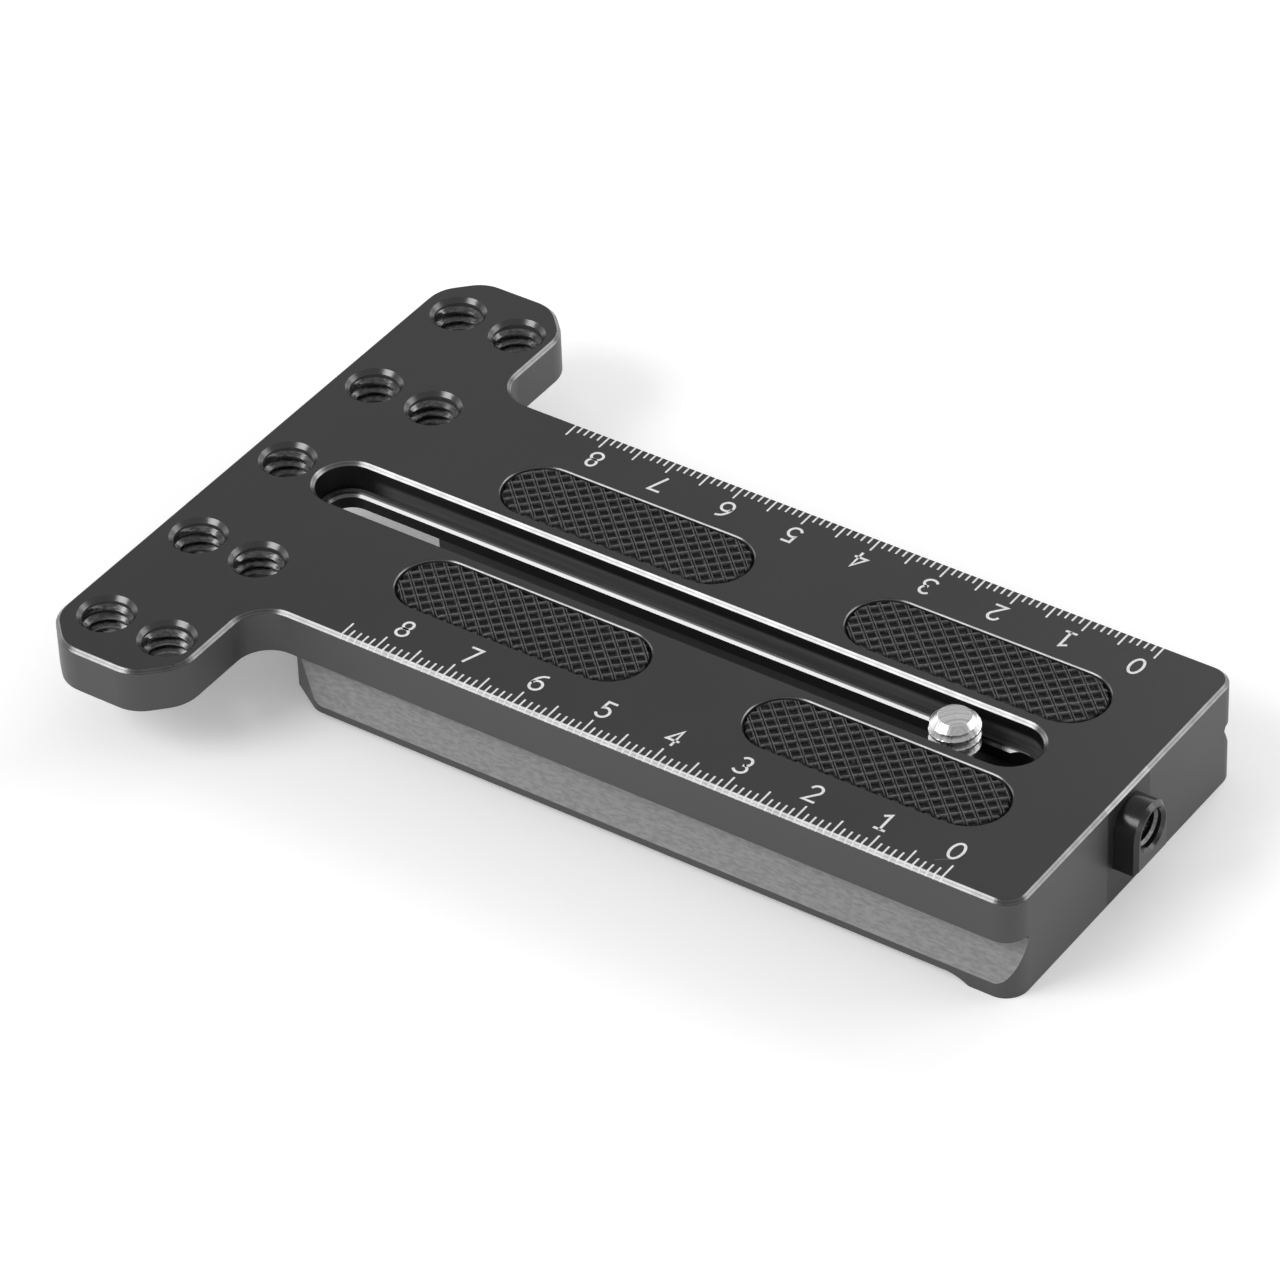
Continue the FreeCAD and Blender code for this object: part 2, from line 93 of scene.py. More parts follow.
class Side(Enum):
    """Long edges of the plate, with the sign of Y."""

    FRONT = -1
    BACK = 1


def piece_from(bm: bmesh.types.BMesh, name: str, material: bpy.types.Material,
               smooth_angle: float | None = None) -> bpy.types.Object:
    """Turn a bmesh into an object of the scene.

    Args:
        bm: the finished mesh, freed here.
        name: name of the piece.
        material: its only material.
        smooth_angle: edges flatter than this many degrees shade smooth.

    Returns:
        The new object.
    """
    bmesh.ops.recalc_face_normals(bm, faces=bm.faces)
    mesh = bpy.data.meshes.new(name)
    if smooth_angle is not None:
        limit = math.radians(smooth_angle)
        for face in bm.faces:
            face.smooth = True
        for edge in bm.edges:
            edge.smooth = len(edge.link_faces) == 2 and edge.calc_face_angle(0.0) < limit
    bm.to_mesh(mesh)
    bm.free()
    mesh.materials.append(material)
    obj = bpy.data.objects.new(name, mesh)
    bpy.context.scene.collection.objects.link(obj)
    return obj


def settle(obj: bpy.types.Object, body: str) -> None:
    """Ride a piece on a body and report it.

    Args:
        obj: the finished piece.
        body: name of the body that carries it.
    """
    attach(obj, body)
    LOG.info("%s: %d faces on %s", obj.name, len(obj.data.polygons), body)


def bridge(bm: bmesh.types.BMesh, first: Ring, second: Ring, closed: bool = True) -> None:
    """Join two rings of as many vertices with quads.

    Args:
        bm: mesh that holds both rings.
        first: one ring.
        second: the other ring.
        closed: whether the last vertex joins the first one too.
    """
    count = len(first)
    last = count if closed else count - 1
    for index in range(last):
        after = (index + 1) % count
        bm.faces.new((first[index], first[after], second[after], second[index]))


def arc(centre: tuple[float, float], radii: tuple[float, float], start: float, end: float,
        steps: int = 14) -> Stroke:
    """Points of an elliptical arc, for the strokes of a digit.

    Args:
        centre: middle of the ellipse.
        radii: its half width and half height.
        start: first angle in degrees.
        end: last angle in degrees.
        steps: how many parts it has.

    Returns:
        The points in order.
    """
    angles = [math.radians(start + (end - start) * index / steps) for index in range(steps + 1)]
    return [(centre[0] + radii[0] * math.cos(angle), centre[1] + radii[1] * math.sin(angle))
            for angle in angles]


# Width of a digit, in digit heights.
DIGIT_WIDTH = 0.6
# Strokes of the digits 0 to 8, in digit heights from the lower left corner of each.
DIGITS: list[list[Stroke]] = [
    [arc((0.30, 0.50), (0.28, 0.50), 90, 450, 32)],
    [[(0.08, 0.84), (0.34, 1.0), (0.34, 0.0)], [(0.08, 0.0), (0.56, 0.0)]],
    [arc((0.29, 0.73), (0.26, 0.27), 165, -38) + [(0.04, 0.0), (0.58, 0.0)]],
    [arc((0.27, 0.74), (0.25, 0.26), 140, -80) + arc((0.27, 0.25), (0.29, 0.26), 82, -148)],
    [[(0.44, 0.0), (0.44, 1.0), (0.02, 0.32), (0.60, 0.32)]],
    [[(0.52, 1.0), (0.12, 1.0), (0.10, 0.58)] + arc((0.26, 0.31), (0.29, 0.32), 118, -150)],
    [arc((0.50, 0.36), (0.48, 0.64), 92, 180) + arc((0.30, 0.30), (0.28, 0.30), 180, 520, 28)],
    [[(0.04, 1.0), (0.57, 1.0), (0.20, 0.0)]],
    [arc((0.30, 0.75), (0.22, 0.25), -90, 270, 24), arc((0.30, 0.26), (0.27, 0.26), 90, 450, 24)],
]



class Graph:
    """Short hand for building the nodes of a material or of the world."""

    def __init__(self, tree: bpy.types.NodeTree, output_kind: str) -> None:
        """Start with an empty surface.

        Args:
            tree: nodes of the material or of the world.
            output_kind: type of the output node.
        """
        self.tree = tree
        self.tree.nodes.clear()
        self.output = self.tree.nodes.new(output_kind)

    def node(self, kind: str, **settings: object) -> bpy.types.Node:
        """Add a node and set its own properties.

        Args:
            kind: type of the node.
            settings: its properties by name.

        Returns:
            The new node.
        """
        made = self.tree.nodes.new(kind)
        for key, value in settings.items():
            setattr(made, key, value)
        return made

    def link(self, source: bpy.types.NodeSocket, target: bpy.types.NodeSocket) -> None:
        """Join two sockets."""
        self.tree.links.new(source, target)

    def feed(self, target: bpy.types.NodeSocket, value: Level) -> None:
        """Set a socket from a number, or link it from another socket.

        Args:
            target: the socket to set.
            value: a number or a socket.
        """
        if isinstance(value, bpy.types.NodeSocket):
            self.link(value, target)
        else:
            target.default_value = value

    def math(self, operation: str, first: Level, second: Level = 0.0) -> bpy.types.NodeSocket:
        """Work out a sum on two levels.

        Args:
            operation: name of the sum.
            first: first level.
            second: second level.

        Returns:
            The result.
        """
        made = self.node("ShaderNodeMath", operation=operation)
        self.feed(made.inputs[0], first)
        self.feed(made.inputs[1], second)
        return made.outputs[0]

    def product(self, first: Level, *others: Level) -> bpy.types.NodeSocket:
        """Multiply levels, or find where several masks overlap.

        Args:
            first: first level.
            others: all further levels.

        Returns:
            Their product.
        """
        result = first
        for other in others:
            result = self.math("MULTIPLY", result, other)
        return result

    def inverse(self, mask: Level) -> bpy.types.NodeSocket:
        """One where the mask is zero, and zero where it is one."""
        return self.math("SUBTRACT", 1.0, mask)

    def ramp(self, value: Level, low: float, high: float,
             start: float = 0.0, end: float = 1.0) -> bpy.types.NodeSocket:
        """Change smoothly from one level to another.

        Args:
            value: the level to follow.
            low: where the change starts.
            high: where it ends.
            start: level before the change.
            end: level after it.

        Returns:
            The new level.
        """
        made = self.node("ShaderNodeMapRange", interpolation_type="SMOOTHSTEP")
        self.feed(made.inputs["Value"], value)
        made.inputs["From Min"].default_value = low
        made.inputs["From Max"].default_value = high
        made.inputs["To Min"].default_value = start
        made.inputs["To Max"].default_value = end
        return made.outputs["Result"]

    def past(self, value: Level, edge: float, fade: Span,
             falling: bool = False) -> bpy.types.NodeSocket:
        """Mask that changes where a value passes an edge.

        Args:
            value: the level to follow.
            edge: the edge's place.
            fade: start and end of the change, from the edge.
            falling: whether the mask goes from one to zero.

        Returns:
            The mask.
        """
        start, end = (1.0, 0.0) if falling else (0.0, 1.0)
        return self.ramp(value, edge + fade[0], edge + fade[1], start, end)

    def band(self, value: Level, low: float, high: float, soft: float) -> bpy.types.NodeSocket:
        """Mask that is one between two limits and zero outside them.

        Args:
            value: the level to follow.
            low: lower limit.
            high: upper limit.
            soft: half width of the change at each limit.

        Returns:
            The mask.
        """
        rise = self.ramp(value, low - soft, low + soft)
        fall = self.ramp(value, high - soft, high + soft, 1.0, 0.0)
        return self.product(rise, fall)

    def vary(self, noise: bpy.types.NodeSocket, least: float, most: float) -> bpy.types.NodeSocket:
        """Spread noise between two levels."""
        return self.ramp(noise, *NOISE_SPAN, least, most)

    def blend(self, mask: Level, first: Level, second: Level) -> bpy.types.NodeSocket:
        """Go from one level to another with a mask.

        Args:
            mask: zero for the first level and one for the second.
            first: first level.
            second: second level.

        Returns:
            The blended level.
        """
        made = self.node("ShaderNodeMix", data_type="FLOAT")
        self.feed(made.inputs[0], mask)
        self.feed(made.inputs[2], first)
        self.feed(made.inputs[3], second)
        return made.outputs[0]

    def layers(self, base: Level,
               covers: Iterable[tuple[bpy.types.NodeSocket, Level]]) -> bpy.types.NodeSocket:
        """Lay levels over a base, each one where its mask is.

        Args:
            base: the lowest level.
            covers: masks and levels, the topmost last.

        Returns:
            The level that shows.
        """
        result = base
        for mask, level in covers:
            result = self.blend(mask, result, level)
        return result

    def grey(self, value: Level) -> bpy.types.NodeSocket:
        """Grey colour of one level.

        Args:
            value: its red, green and blue.

        Returns:
            The colour.
        """
        made = self.node("ShaderNodeCombineColor")
        for socket in made.inputs[:3]:
            self.feed(socket, value)
        return made.outputs[0]

    def noise(self, scale: float, stretch: Point = (1.0, 1.0, 1.0),
              detail: float = 4.0) -> bpy.types.NodeSocket:
        """Noise over the object's own coordinates.

        Args:
            scale: how fine it is, in cells a metre.
            stretch: factor of the scale along each axis.
            detail: how many finer octaves it has.

        Returns:
            The noise, from zero to one.
        """
        place = self.node("ShaderNodeTexCoord").outputs["Object"]
        mapping = self.node("ShaderNodeMapping")
        mapping.inputs["Scale"].default_value = stretch
        self.link(place, mapping.inputs["Vector"])
        made = self.node("ShaderNodeTexNoise")
        made.inputs["Scale"].default_value = scale
        made.inputs["Detail"].default_value = detail
        self.link(mapping.outputs[0], made.inputs["Vector"])
        return made.outputs["Fac"]

    def bump(self, height: Level, strength: float, distance: float,
             below: bpy.types.NodeSocket | None = None) -> bpy.types.NodeSocket:
        """Normal that a height field gives.

        Args:
            height: the field.
            strength: how much of it shows.
            distance: its full height in metres.
            below: a coarser normal that it lies on.

        Returns:
            The normal.
        """
        made = self.node("ShaderNodeBump")
        made.inputs["Strength"].default_value = strength
        made.inputs["Distance"].default_value = distance
        self.feed(made.inputs["Height"], height)
        if below is not None:
            self.link(below, made.inputs["Normal"])
        return made.outputs[0]

    def split(self, vector: bpy.types.NodeSocket) -> tuple[bpy.types.NodeSocket, ...]:
        """X, Y and Z of a vector.

        Args:
            vector: the vector's socket.

        Returns:
            A socket for each axis.
        """
        parted = self.node("ShaderNodeSeparateXYZ")
        self.link(vector, parted.inputs[0])
        return tuple(parted.outputs)

    def place(self) -> tuple[bpy.types.NodeSocket, ...]:
        """X, Y and Z of the surface in the object's coordinates."""
        return self.split(self.node("ShaderNodeTexCoord").outputs["Object"])

    def normal(self) -> tuple[bpy.types.NodeSocket, ...]:
        """X, Y and Z of the surface's normal."""
        return self.split(self.node("ShaderNodeNewGeometry").outputs["Normal"])


class MaterialGraph(Graph):
    """Nodes of one material."""

    def __init__(self, name: str) -> None:
        """Make a material with an empty surface.

        Args:
            name: name of the material.
        """
        self.material = bpy.data.materials.new(name)
        self.material.use_nodes = True
        super().__init__(self.material.node_tree, "ShaderNodeOutputMaterial")

    def principled(self) -> bpy.types.Node:
        """Add the material's shader and join it to the output.

        Returns:
            The shader.
        """
        shader = self.node("ShaderNodeBsdfPrincipled")
        self.link(shader.outputs[0], self.output.inputs["Surface"])
        return shader


class WorldGraph(Graph):
    """Nodes of the world."""

    def __init__(self, name: str) -> None:
        """Make a world with an empty surface and give it to the scene.

        Args:
            name: name of the world.
        """
        world = bpy.data.worlds.new(name)
        world.use_nodes = True
        bpy.context.scene.world = world
        super().__init__(world.node_tree, "ShaderNodeOutputWorld")


@dataclass(frozen=True)
class PlateMasks:
    """Cuts of the machined plate, each mask one on its cut and zero elsewhere."""

    height: bpy.types.NodeSocket
    boss: bpy.types.NodeSocket
    in_slot: bpy.types.NodeSocket
    bevel: bpy.types.NodeSocket
    mouth: bpy.types.NodeSocket
    groove: bpy.types.NodeSocket
    ledge: bpy.types.NodeSocket
    outside: bpy.types.NodeSocket
    slot_wall: bpy.types.NodeSocket
    low_wall: bpy.types.NodeSocket


@dataclass(frozen=True)
class BevelLinesAndHighlight:
    """Two bright lines that the cutter leaves on a bevel, with soft rims, painted together with the
    bevel's highlight.
    """

    middle_fade: Span = (0.02 * MM, 0.11 * MM)
    middle_level: float = 0.68
    rim_fade: Span = (0.19 * MM, 0.25 * MM)
    rim_level: float = 0.35
    # painted highlight: bevels in the slot brighter
    slot_highlight_gain: float = 1.35
    ledge_from: Span = (1.0 * MM, 1.2 * MM)
    ledge_fade: Span = (0.12 * MM, 0.25 * MM)
    # painted highlight: the ledge's bevel dark at its top and bright below
    ledge_highlight_levels: Span = (0.12, 1.15)
    wear_size: float = 500.0
    wear_swing: Span = (0.85, 1.1)

    def level(self, graph: MaterialGraph, sizes: PlateSizes,
              height: bpy.types.NodeSocket, in_slot: bpy.types.NodeSocket) -> bpy.types.NodeSocket:
        """Share of the bevel's tone at each depth of the bevel, with painted highlight: brighter in
        the slot, and only on the lower part of the ledge's bevel.

        Args:
            graph: the material's nodes.
            sizes: sizes that place the bevels.
            height: height of the surface.
            in_slot: one inside the slot.

        Returns:
            The share.
        """
        below_top = graph.math("SUBTRACT", sizes.top_z, height)
        below_ledge = graph.math("SUBTRACT", sizes.throat_top_z, height)
        on_ledge = graph.ramp(below_top, *self.ledge_from)
        depth = graph.blend(on_ledge, below_top, below_ledge)
        away = graph.math("ABSOLUTE", graph.math("SUBTRACT", depth, sizes.bevel / 2))
        outer = graph.product(
            graph.ramp(away, *self.middle_fade, self.middle_level, 1.0),
            graph.ramp(away, *self.rim_fade, 1.0, self.rim_level),
            graph.vary(graph.noise(self.wear_size), *self.wear_swing),
            # painted highlight: bevels in the slot brighter
            graph.blend(in_slot, 1.0, self.slot_highlight_gain))
        # painted highlight on the lower part of the ledge's bevel
        inner = graph.ramp(below_ledge, *self.ledge_fade, *self.ledge_highlight_levels)
        return graph.blend(on_ledge, outer, inner)


@dataclass(frozen=True)
class AnodisedFinish:
    """Bead-blasted black anodise with machined bevels and a milled dovetail, and painted light:
    lighter walls, dovetail and ledge, painted shade in the slot and a painted reflection on its
    lower walls.
    """

    body_tone: float = 0.012
    # painted light: upright outer walls lighter than the top, as where more light falls
    side_light_tone: float = 0.046
    bevel_tone: float = 0.145
    # painted light: the dovetail lighter than the body, as lit from the floor; its milling streaks
    # are texture
    groove_light_tone: float = 0.195
    # painted light: the slot's ledge as light as the top, though it lies in the slot's shade; the
    # drag streaks are texture
    ledge_light_tone: float = 0.075
    # painted shade: the slot's walls near black where shade falls in the slot
    slot_shade_tone: float = 0.004
    # painted reflection: the lower part of the slot's walls lighter, as the ledge shows in them
    low_wall_reflection_tone: float = 0.085
    boss_tone: float = 0.010
    mouth_tone: float = 0.085
    body_gloss: float = 0.46
    gloss_swing: float = 0.03
    bevel_gloss: float = 0.24
    groove_gloss: float = 0.55
    boss_gloss: float = 0.20
    mouth_gloss: float = 0.23
    cut_metal: float = 0.85
    plain_shine: float = 0.50
    slot_shine: float = 0.25
    cloud_size: float = 60.0
    cloud_swing: Span = (0.92, 1.08)
    grain_size: float = 5200.0
    grain_swing: Span = (0.88, 1.12)
    milling_size: float = 3200.0
    milling_stretch: Point = (0.3, 1.0, 1.0)
    milling_swing: Span = (0.85, 1.2)
    drag_size: float = 1400.0
    drag_stretch: Point = (0.02, 1.0, 1.0)
    drag_swing: Span = (0.75, 1.2)
    blast_bump: float = 0.35
    blast_depth: float = 0.02 * MM
    milling_bump: float = 0.6
    milling_depth: float = 0.05 * MM
    bevel_slope: Span = (0.62, 0.80)
    groove_slope: Span = (0.40, 0.56)
    slope_soft: float = 0.04
    flat_slope: Span = (0.9, 0.97)
    upright_slope: Span = (0.1, 0.3)
    boss_fade: Span = (0.02 * MM, 0.10 * MM)
    throat_bevel_fade: Span = (-0.8 * MM, -0.6 * MM)
    mouth_fade: Span = (0.0, 0.1 * MM)
    mouth_soft: float = 0.1 * MM
    head_margin: float = 1.0 * MM
    slot_side_fade: Span = (0.05 * MM, 0.15 * MM)
    slot_end_fade: Span = (-0.3 * MM, -0.1 * MM)
    slot_far_fade: Span = (0.0, 0.2 * MM)
    groove_fade: Span = (-4.2 * MM, -3.8 * MM)
    ledge_half: float = 0.1 * MM
    ledge_soft: float = 0.02 * MM
    low_wall_top: Span = (1.6 * MM, 2.3 * MM)
    low_wall_foot: Span = (-0.1 * MM, 0.1 * MM)
    low_wall_start: Span = (5.0 * MM, 9.0 * MM)

    def material(self, sizes: PlateSizes) -> bpy.types.Material:
        """Build the finish for a plate.

        Args:
            sizes: sizes that place the bevels, the groove and the boss.

        Returns:
            The finished material.
        """
        graph = MaterialGraph("black_anodise")
        masks = self.masks(graph, sizes)
        cloud = graph.noise(self.cloud_size, detail=3.0)
        grain = graph.noise(self.grain_size, detail=2.0)
        milling = graph.noise(self.milling_size, self.milling_stretch)
        lines = BevelLinesAndHighlight().level(graph, sizes, masks.height, masks.in_slot)
        tone = self.tone(graph, masks, (cloud, grain, milling), lines)
        cut = graph.math("MAXIMUM", masks.bevel, masks.mouth)
        shine = graph.blend(masks.slot_wall, self.plain_shine, self.slot_shine)
        blast = graph.bump(grain, self.blast_bump, self.blast_depth)
        milled = graph.bump(
            graph.product(milling, masks.groove), self.milling_bump, self.milling_depth, blast)

        shader = graph.principled()
        graph.link(graph.grey(tone), shader.inputs["Base Color"])
        graph.link(self.gloss(graph, masks, cloud), shader.inputs["Roughness"])
        graph.link(shine, shader.inputs["Specular IOR Level"])
        graph.link(graph.product(cut, self.cut_metal), shader.inputs["Metallic"])
        graph.link(milled, shader.inputs["Normal"])
        return graph.material

    def masks(self, graph: MaterialGraph, sizes: PlateSizes) -> PlateMasks:
        """Find each cut of the plate by its place and its slope.

        Args:
            graph: the material's nodes.
            sizes: sizes that place the cuts.

        Returns:
            A mask for each cut.
        """
        along, sideways, height = graph.place()
        across = graph.math("ABSOLUTE", sideways)
        slope = graph.normal()[2]
        upright = graph.ramp(graph.math("ABSOLUTE", slope), *self.upright_slope, 1.0, 0.0)
        boss = graph.past(along, sizes.far_x, self.boss_fade)
        off_boss = graph.inverse(boss)
        in_slot = graph.product(
            graph.past(across, sizes.slot_reach, self.slot_side_fade, falling=True),
            graph.past(along, sizes.slot_end_x, self.slot_end_fade))
        drilled = graph.product(
            graph.band(along, sizes.near_x + self.head_margin, sizes.holes_end_x, self.mouth_soft),
            graph.past(across, sizes.holes_side_y, self.mouth_fade, falling=True),
            graph.inverse(in_slot))
        bevelled = graph.product(
            graph.band(slope, *self.bevel_slope, self.slope_soft),
            graph.past(height, sizes.throat_top_z, self.throat_bevel_fade), off_boss)
        # dovetail: milling texture in its bump, and painted light in its tone
        groove = graph.product(
            graph.band(slope, *self.groove_slope, self.slope_soft),
            graph.past(across, sizes.half_width, self.groove_fade), off_boss)
        # the slot's ledge, which gets painted light in its tone
        ledge = graph.product(
            graph.ramp(slope, *self.flat_slope), in_slot,
            graph.band(height, sizes.throat_top_z - self.ledge_half,
                       sizes.throat_top_z + self.ledge_half, self.ledge_soft))
        # the slot's walls: painted shade in their tone and a lower specular level
        slot_wall = graph.product(
            upright, in_slot,
            graph.past(along, sizes.slot_far_x, self.slot_far_fade, falling=True))
        # lower part of the slot's walls, which gets a painted reflection of the ledge
        low_wall = graph.product(
            graph.past(height, sizes.throat_top_z, self.low_wall_top, falling=True),
            graph.past(height, sizes.throat_top_z, self.low_wall_foot),
            graph.past(along, sizes.slot_end_x, self.low_wall_start))
        return PlateMasks(
            height=height, boss=boss, in_slot=in_slot,
            bevel=graph.product(bevelled, graph.inverse(drilled)),
            mouth=graph.product(bevelled, drilled), groove=groove, ledge=ledge,
            # upright outer walls, which get painted light in their tone
            outside=graph.product(upright, graph.inverse(in_slot)),
            slot_wall=slot_wall, low_wall=low_wall)

    def tone(self, graph: MaterialGraph, masks: PlateMasks,
             noises: tuple[bpy.types.NodeSocket, ...],
             lines: bpy.types.NodeSocket) -> bpy.types.NodeSocket:
        """Grey of the whole plate, with its painted light, shade and reflection.

        Args:
            graph: the material's nodes.
            masks: the plate's cuts.
            noises: the clouds, the grain and the milling marks.
            lines: share of the bevel's tone on each bevel, with the cutter's lines and painted
                highlight.

        Returns:
            The tone.
        """
        cloud, grain, milling = noises
        darkest, lightest = (self.body_tone * swing for swing in self.cloud_swing)
        body = graph.product(
            graph.ramp(cloud, 0.25, 0.75, darkest, lightest), graph.vary(grain, *self.grain_swing))
        drag = graph.vary(graph.noise(self.drag_size, self.drag_stretch), *self.drag_swing)
        # painted shade on the slot's walls, with a painted reflection of the ledge on their lower
        # part
        wall = graph.blend(
            masks.low_wall, self.slot_shade_tone, graph.product(drag, self.low_wall_reflection_tone))
        # painted light on the dovetail, with its milling streaks
        milled = graph.product(graph.vary(milling, *self.milling_swing), self.groove_light_tone)
        return graph.layers(body, (
            # painted light on the upright outer walls
            (masks.outside, self.side_light_tone),
            (masks.groove, milled),
            # painted light on the slot's ledge
            (masks.ledge, graph.product(drag, self.ledge_light_tone)),
            (masks.slot_wall, wall),
            (masks.bevel, graph.product(lines, self.bevel_tone)),
            (masks.mouth, self.mouth_tone),
            (masks.boss, self.boss_tone)))

    def gloss(self, graph: MaterialGraph, masks: PlateMasks,
              cloud: bpy.types.NodeSocket) -> bpy.types.NodeSocket:
        """Roughness of the whole plate.

        Args:
            graph: the material's nodes.
            masks: the plate's cuts.
            cloud: the slow noise over the body.

        Returns:
            The roughness.
        """
        body = graph.ramp(
            cloud, 0.2, 0.8, self.body_gloss - self.gloss_swing, self.body_gloss + self.gloss_swing)
        return graph.layers(body, (
            (masks.groove, self.groove_gloss),
            (masks.bevel, self.bevel_gloss),
            (masks.mouth, self.mouth_gloss),
            (masks.boss, self.boss_gloss)))


@dataclass(frozen=True)
class ThreadFinish:
    """Glossier anodise inside the tapped holes."""

    tone: float = 0.11
    tone_swing: Span = (0.7, 1.5)
    gloss: float = 0.22
    gloss_swing: Span = (0.8, 1.3)
    shine: float = 1.0
    metal: float = 0.85
    streak_size: float = 1500.0
    streak_stretch: Point = (1.0, 1.0, 4.0)

    def material(self) -> bpy.types.Material:
        """Build the finish.

        Returns:
            The finished material.
        """
        graph = MaterialGraph("thread_anodise")
        streak = graph.noise(self.streak_size, self.streak_stretch)
        tone = graph.vary(streak, *(self.tone * swing for swing in self.tone_swing))
        gloss = graph.vary(streak, *(self.gloss * swing for swing in self.gloss_swing))
        shader = graph.principled()
        graph.link(graph.grey(tone), shader.inputs["Base Color"])
        graph.link(gloss, shader.inputs["Roughness"])
        shader.inputs["Specular IOR Level"].default_value = self.shine
        shader.inputs["Metallic"].default_value = self.metal
        return graph.material


@dataclass(frozen=True)
class RubberFinish:
    """Black moulded rubber, dusty on its ribs, with painted shade in its pits and along the groove
    of each crest.
    """

    # painted shade: the pits between the ribs darker than the ribs
    pit_shade_tone: float = 0.004
    rib_tone: float = 0.066
    # painted shade in the groove along each steep crest
    notch_shade_level: float = 0.12
    notch_share: Span = (0.6, 1.1)
    speck_size: float = 2600.0
    speck_swing: Span = (0.6, 1.5)
    dust_size: float = 1500.0
    dust_span: Span = (0.68, 0.74)
    dust_tone: float = 0.05
    gloss_span: Span = (0.40, 0.58)
    shine: float = 0.42
    grain_bump: float = 0.4
    grain_depth: float = 0.03 * MM

    def material(self, floor_z: float, top_z: float, ribs: RibFamily) -> bpy.types.Material:
        """Build the finish.

        Args:
            floor_z: height of the pits between the ribs.
            top_z: height of the ribs.
            ribs: the family with a fine groove along each crest.

        Returns:
            The finished material.
        """
        graph = MaterialGraph("ribbed_rubber")
        height = graph.place()[2]
        speck = graph.noise(self.speck_size, detail=3.0)
        dust = graph.ramp(graph.noise(self.dust_size, detail=1.0), *self.dust_span)
        # painted shade: pits darker than the ribs, and the crest grooves darker still
        tone = graph.product(
            graph.ramp(height, floor_z, top_z, self.pit_shade_tone, self.rib_tone),
            self.notch_shade(graph, ribs), graph.vary(speck, *self.speck_swing))
        tone = graph.math("ADD", tone, graph.product(dust, self.dust_tone))
        shader = graph.principled()
        graph.link(graph.grey(tone), shader.inputs["Base Color"])
        graph.link(graph.vary(speck, *self.gloss_span), shader.inputs["Roughness"])
        shader.inputs["Specular IOR Level"].default_value = self.shine
        graph.link(graph.bump(speck, self.grain_bump, self.grain_depth), shader.inputs["Normal"])
        return graph.material

    def notch_shade(self, graph: MaterialGraph, ribs: RibFamily) -> bpy.types.NodeSocket:
        """Painted shade: a dark line in the groove along each crest of a family.

        Args:
            graph: the material's nodes.
            ribs: the family.

        Returns:
            The share of the tone that is left.
        """
        along, sideways, _ = graph.place()
        turn = math.radians(ribs.angle)
        across = graph.math("ADD", graph.product(along, -math.sin(turn) / ribs.gap),
                            graph.product(sideways, math.cos(turn) / ribs.gap))
        part = graph.math("FRACT", graph.math("ADD", across, WHOLE_RIBS + 0.5))
        away = graph.math("ABSOLUTE", graph.math("SUBTRACT", part, 0.5))
        near, far = (share * ribs.notch_half / ribs.gap for share in self.notch_share)
        return graph.ramp(away, near, far, self.notch_shade_level, 1.0)


@dataclass(frozen=True)
class SteelFinish:
    """Bright turned steel with fine rings."""

    tone: float = 0.82
    ring_level: float = 0.78
    ring_size: float = 2600.0
    ring_middle: Span = (1.9 * MM, -2.2 * MM)
    gloss_span: Span = (0.24, 0.36)
    speck_size: float = 3000.0
    speck_bump: float = 0.06
    speck_depth: float = 0.01 * MM

    def material(self, axis: Vector) -> bpy.types.Material:
        """Build the finish.

        Args:
            axis: a point on the axis that the steel was turned about.

        Returns:
            The finished material.
        """
        graph = MaterialGraph("turned_steel")
        reach_squared = graph.math("ADD", *(
            graph.math("POWER", graph.math("SUBTRACT", place, middle + offset), 2.0)
            for place, middle, offset in zip(graph.place(), axis, self.ring_middle)))
        turned = graph.node("ShaderNodeTexNoise", noise_dimensions="1D")
        turned.inputs["Scale"].default_value = self.ring_size
        turned.inputs["Detail"].default_value = 3.0
        graph.link(graph.math("SQRT", reach_squared), turned.inputs["W"])
        ring = turned.outputs["Fac"]
        tone = graph.vary(ring, self.tone * self.ring_level, self.tone)
        fleck = graph.bump(graph.noise(self.speck_size), self.speck_bump, self.speck_depth)
        shader = graph.principled()
        graph.link(graph.grey(tone), shader.inputs["Base Color"])
        graph.link(graph.vary(ring, *self.gloss_span), shader.inputs["Roughness"])
        shader.inputs["Metallic"].default_value = 1.0
        graph.link(fleck, shader.inputs["Normal"])
        return graph.material


@dataclass(frozen=True)
class MarkFinish:
    """White laser marking, slightly uneven."""

    tone: float = 0.80
    faint: float = 0.8
    gloss: float = 0.7
    speck_size: float = 3500.0

    def material(self) -> bpy.types.Material:
        """Build the finish.

        Returns:
            The finished material.
        """
        graph = MaterialGraph("laser_mark")
        tone = graph.vary(graph.noise(self.speck_size), self.tone * self.faint, self.tone)
        shader = graph.principled()
        graph.link(graph.grey(tone), shader.inputs["Base Color"])
        shader.inputs["Roughness"].default_value = self.gloss
        return graph.material


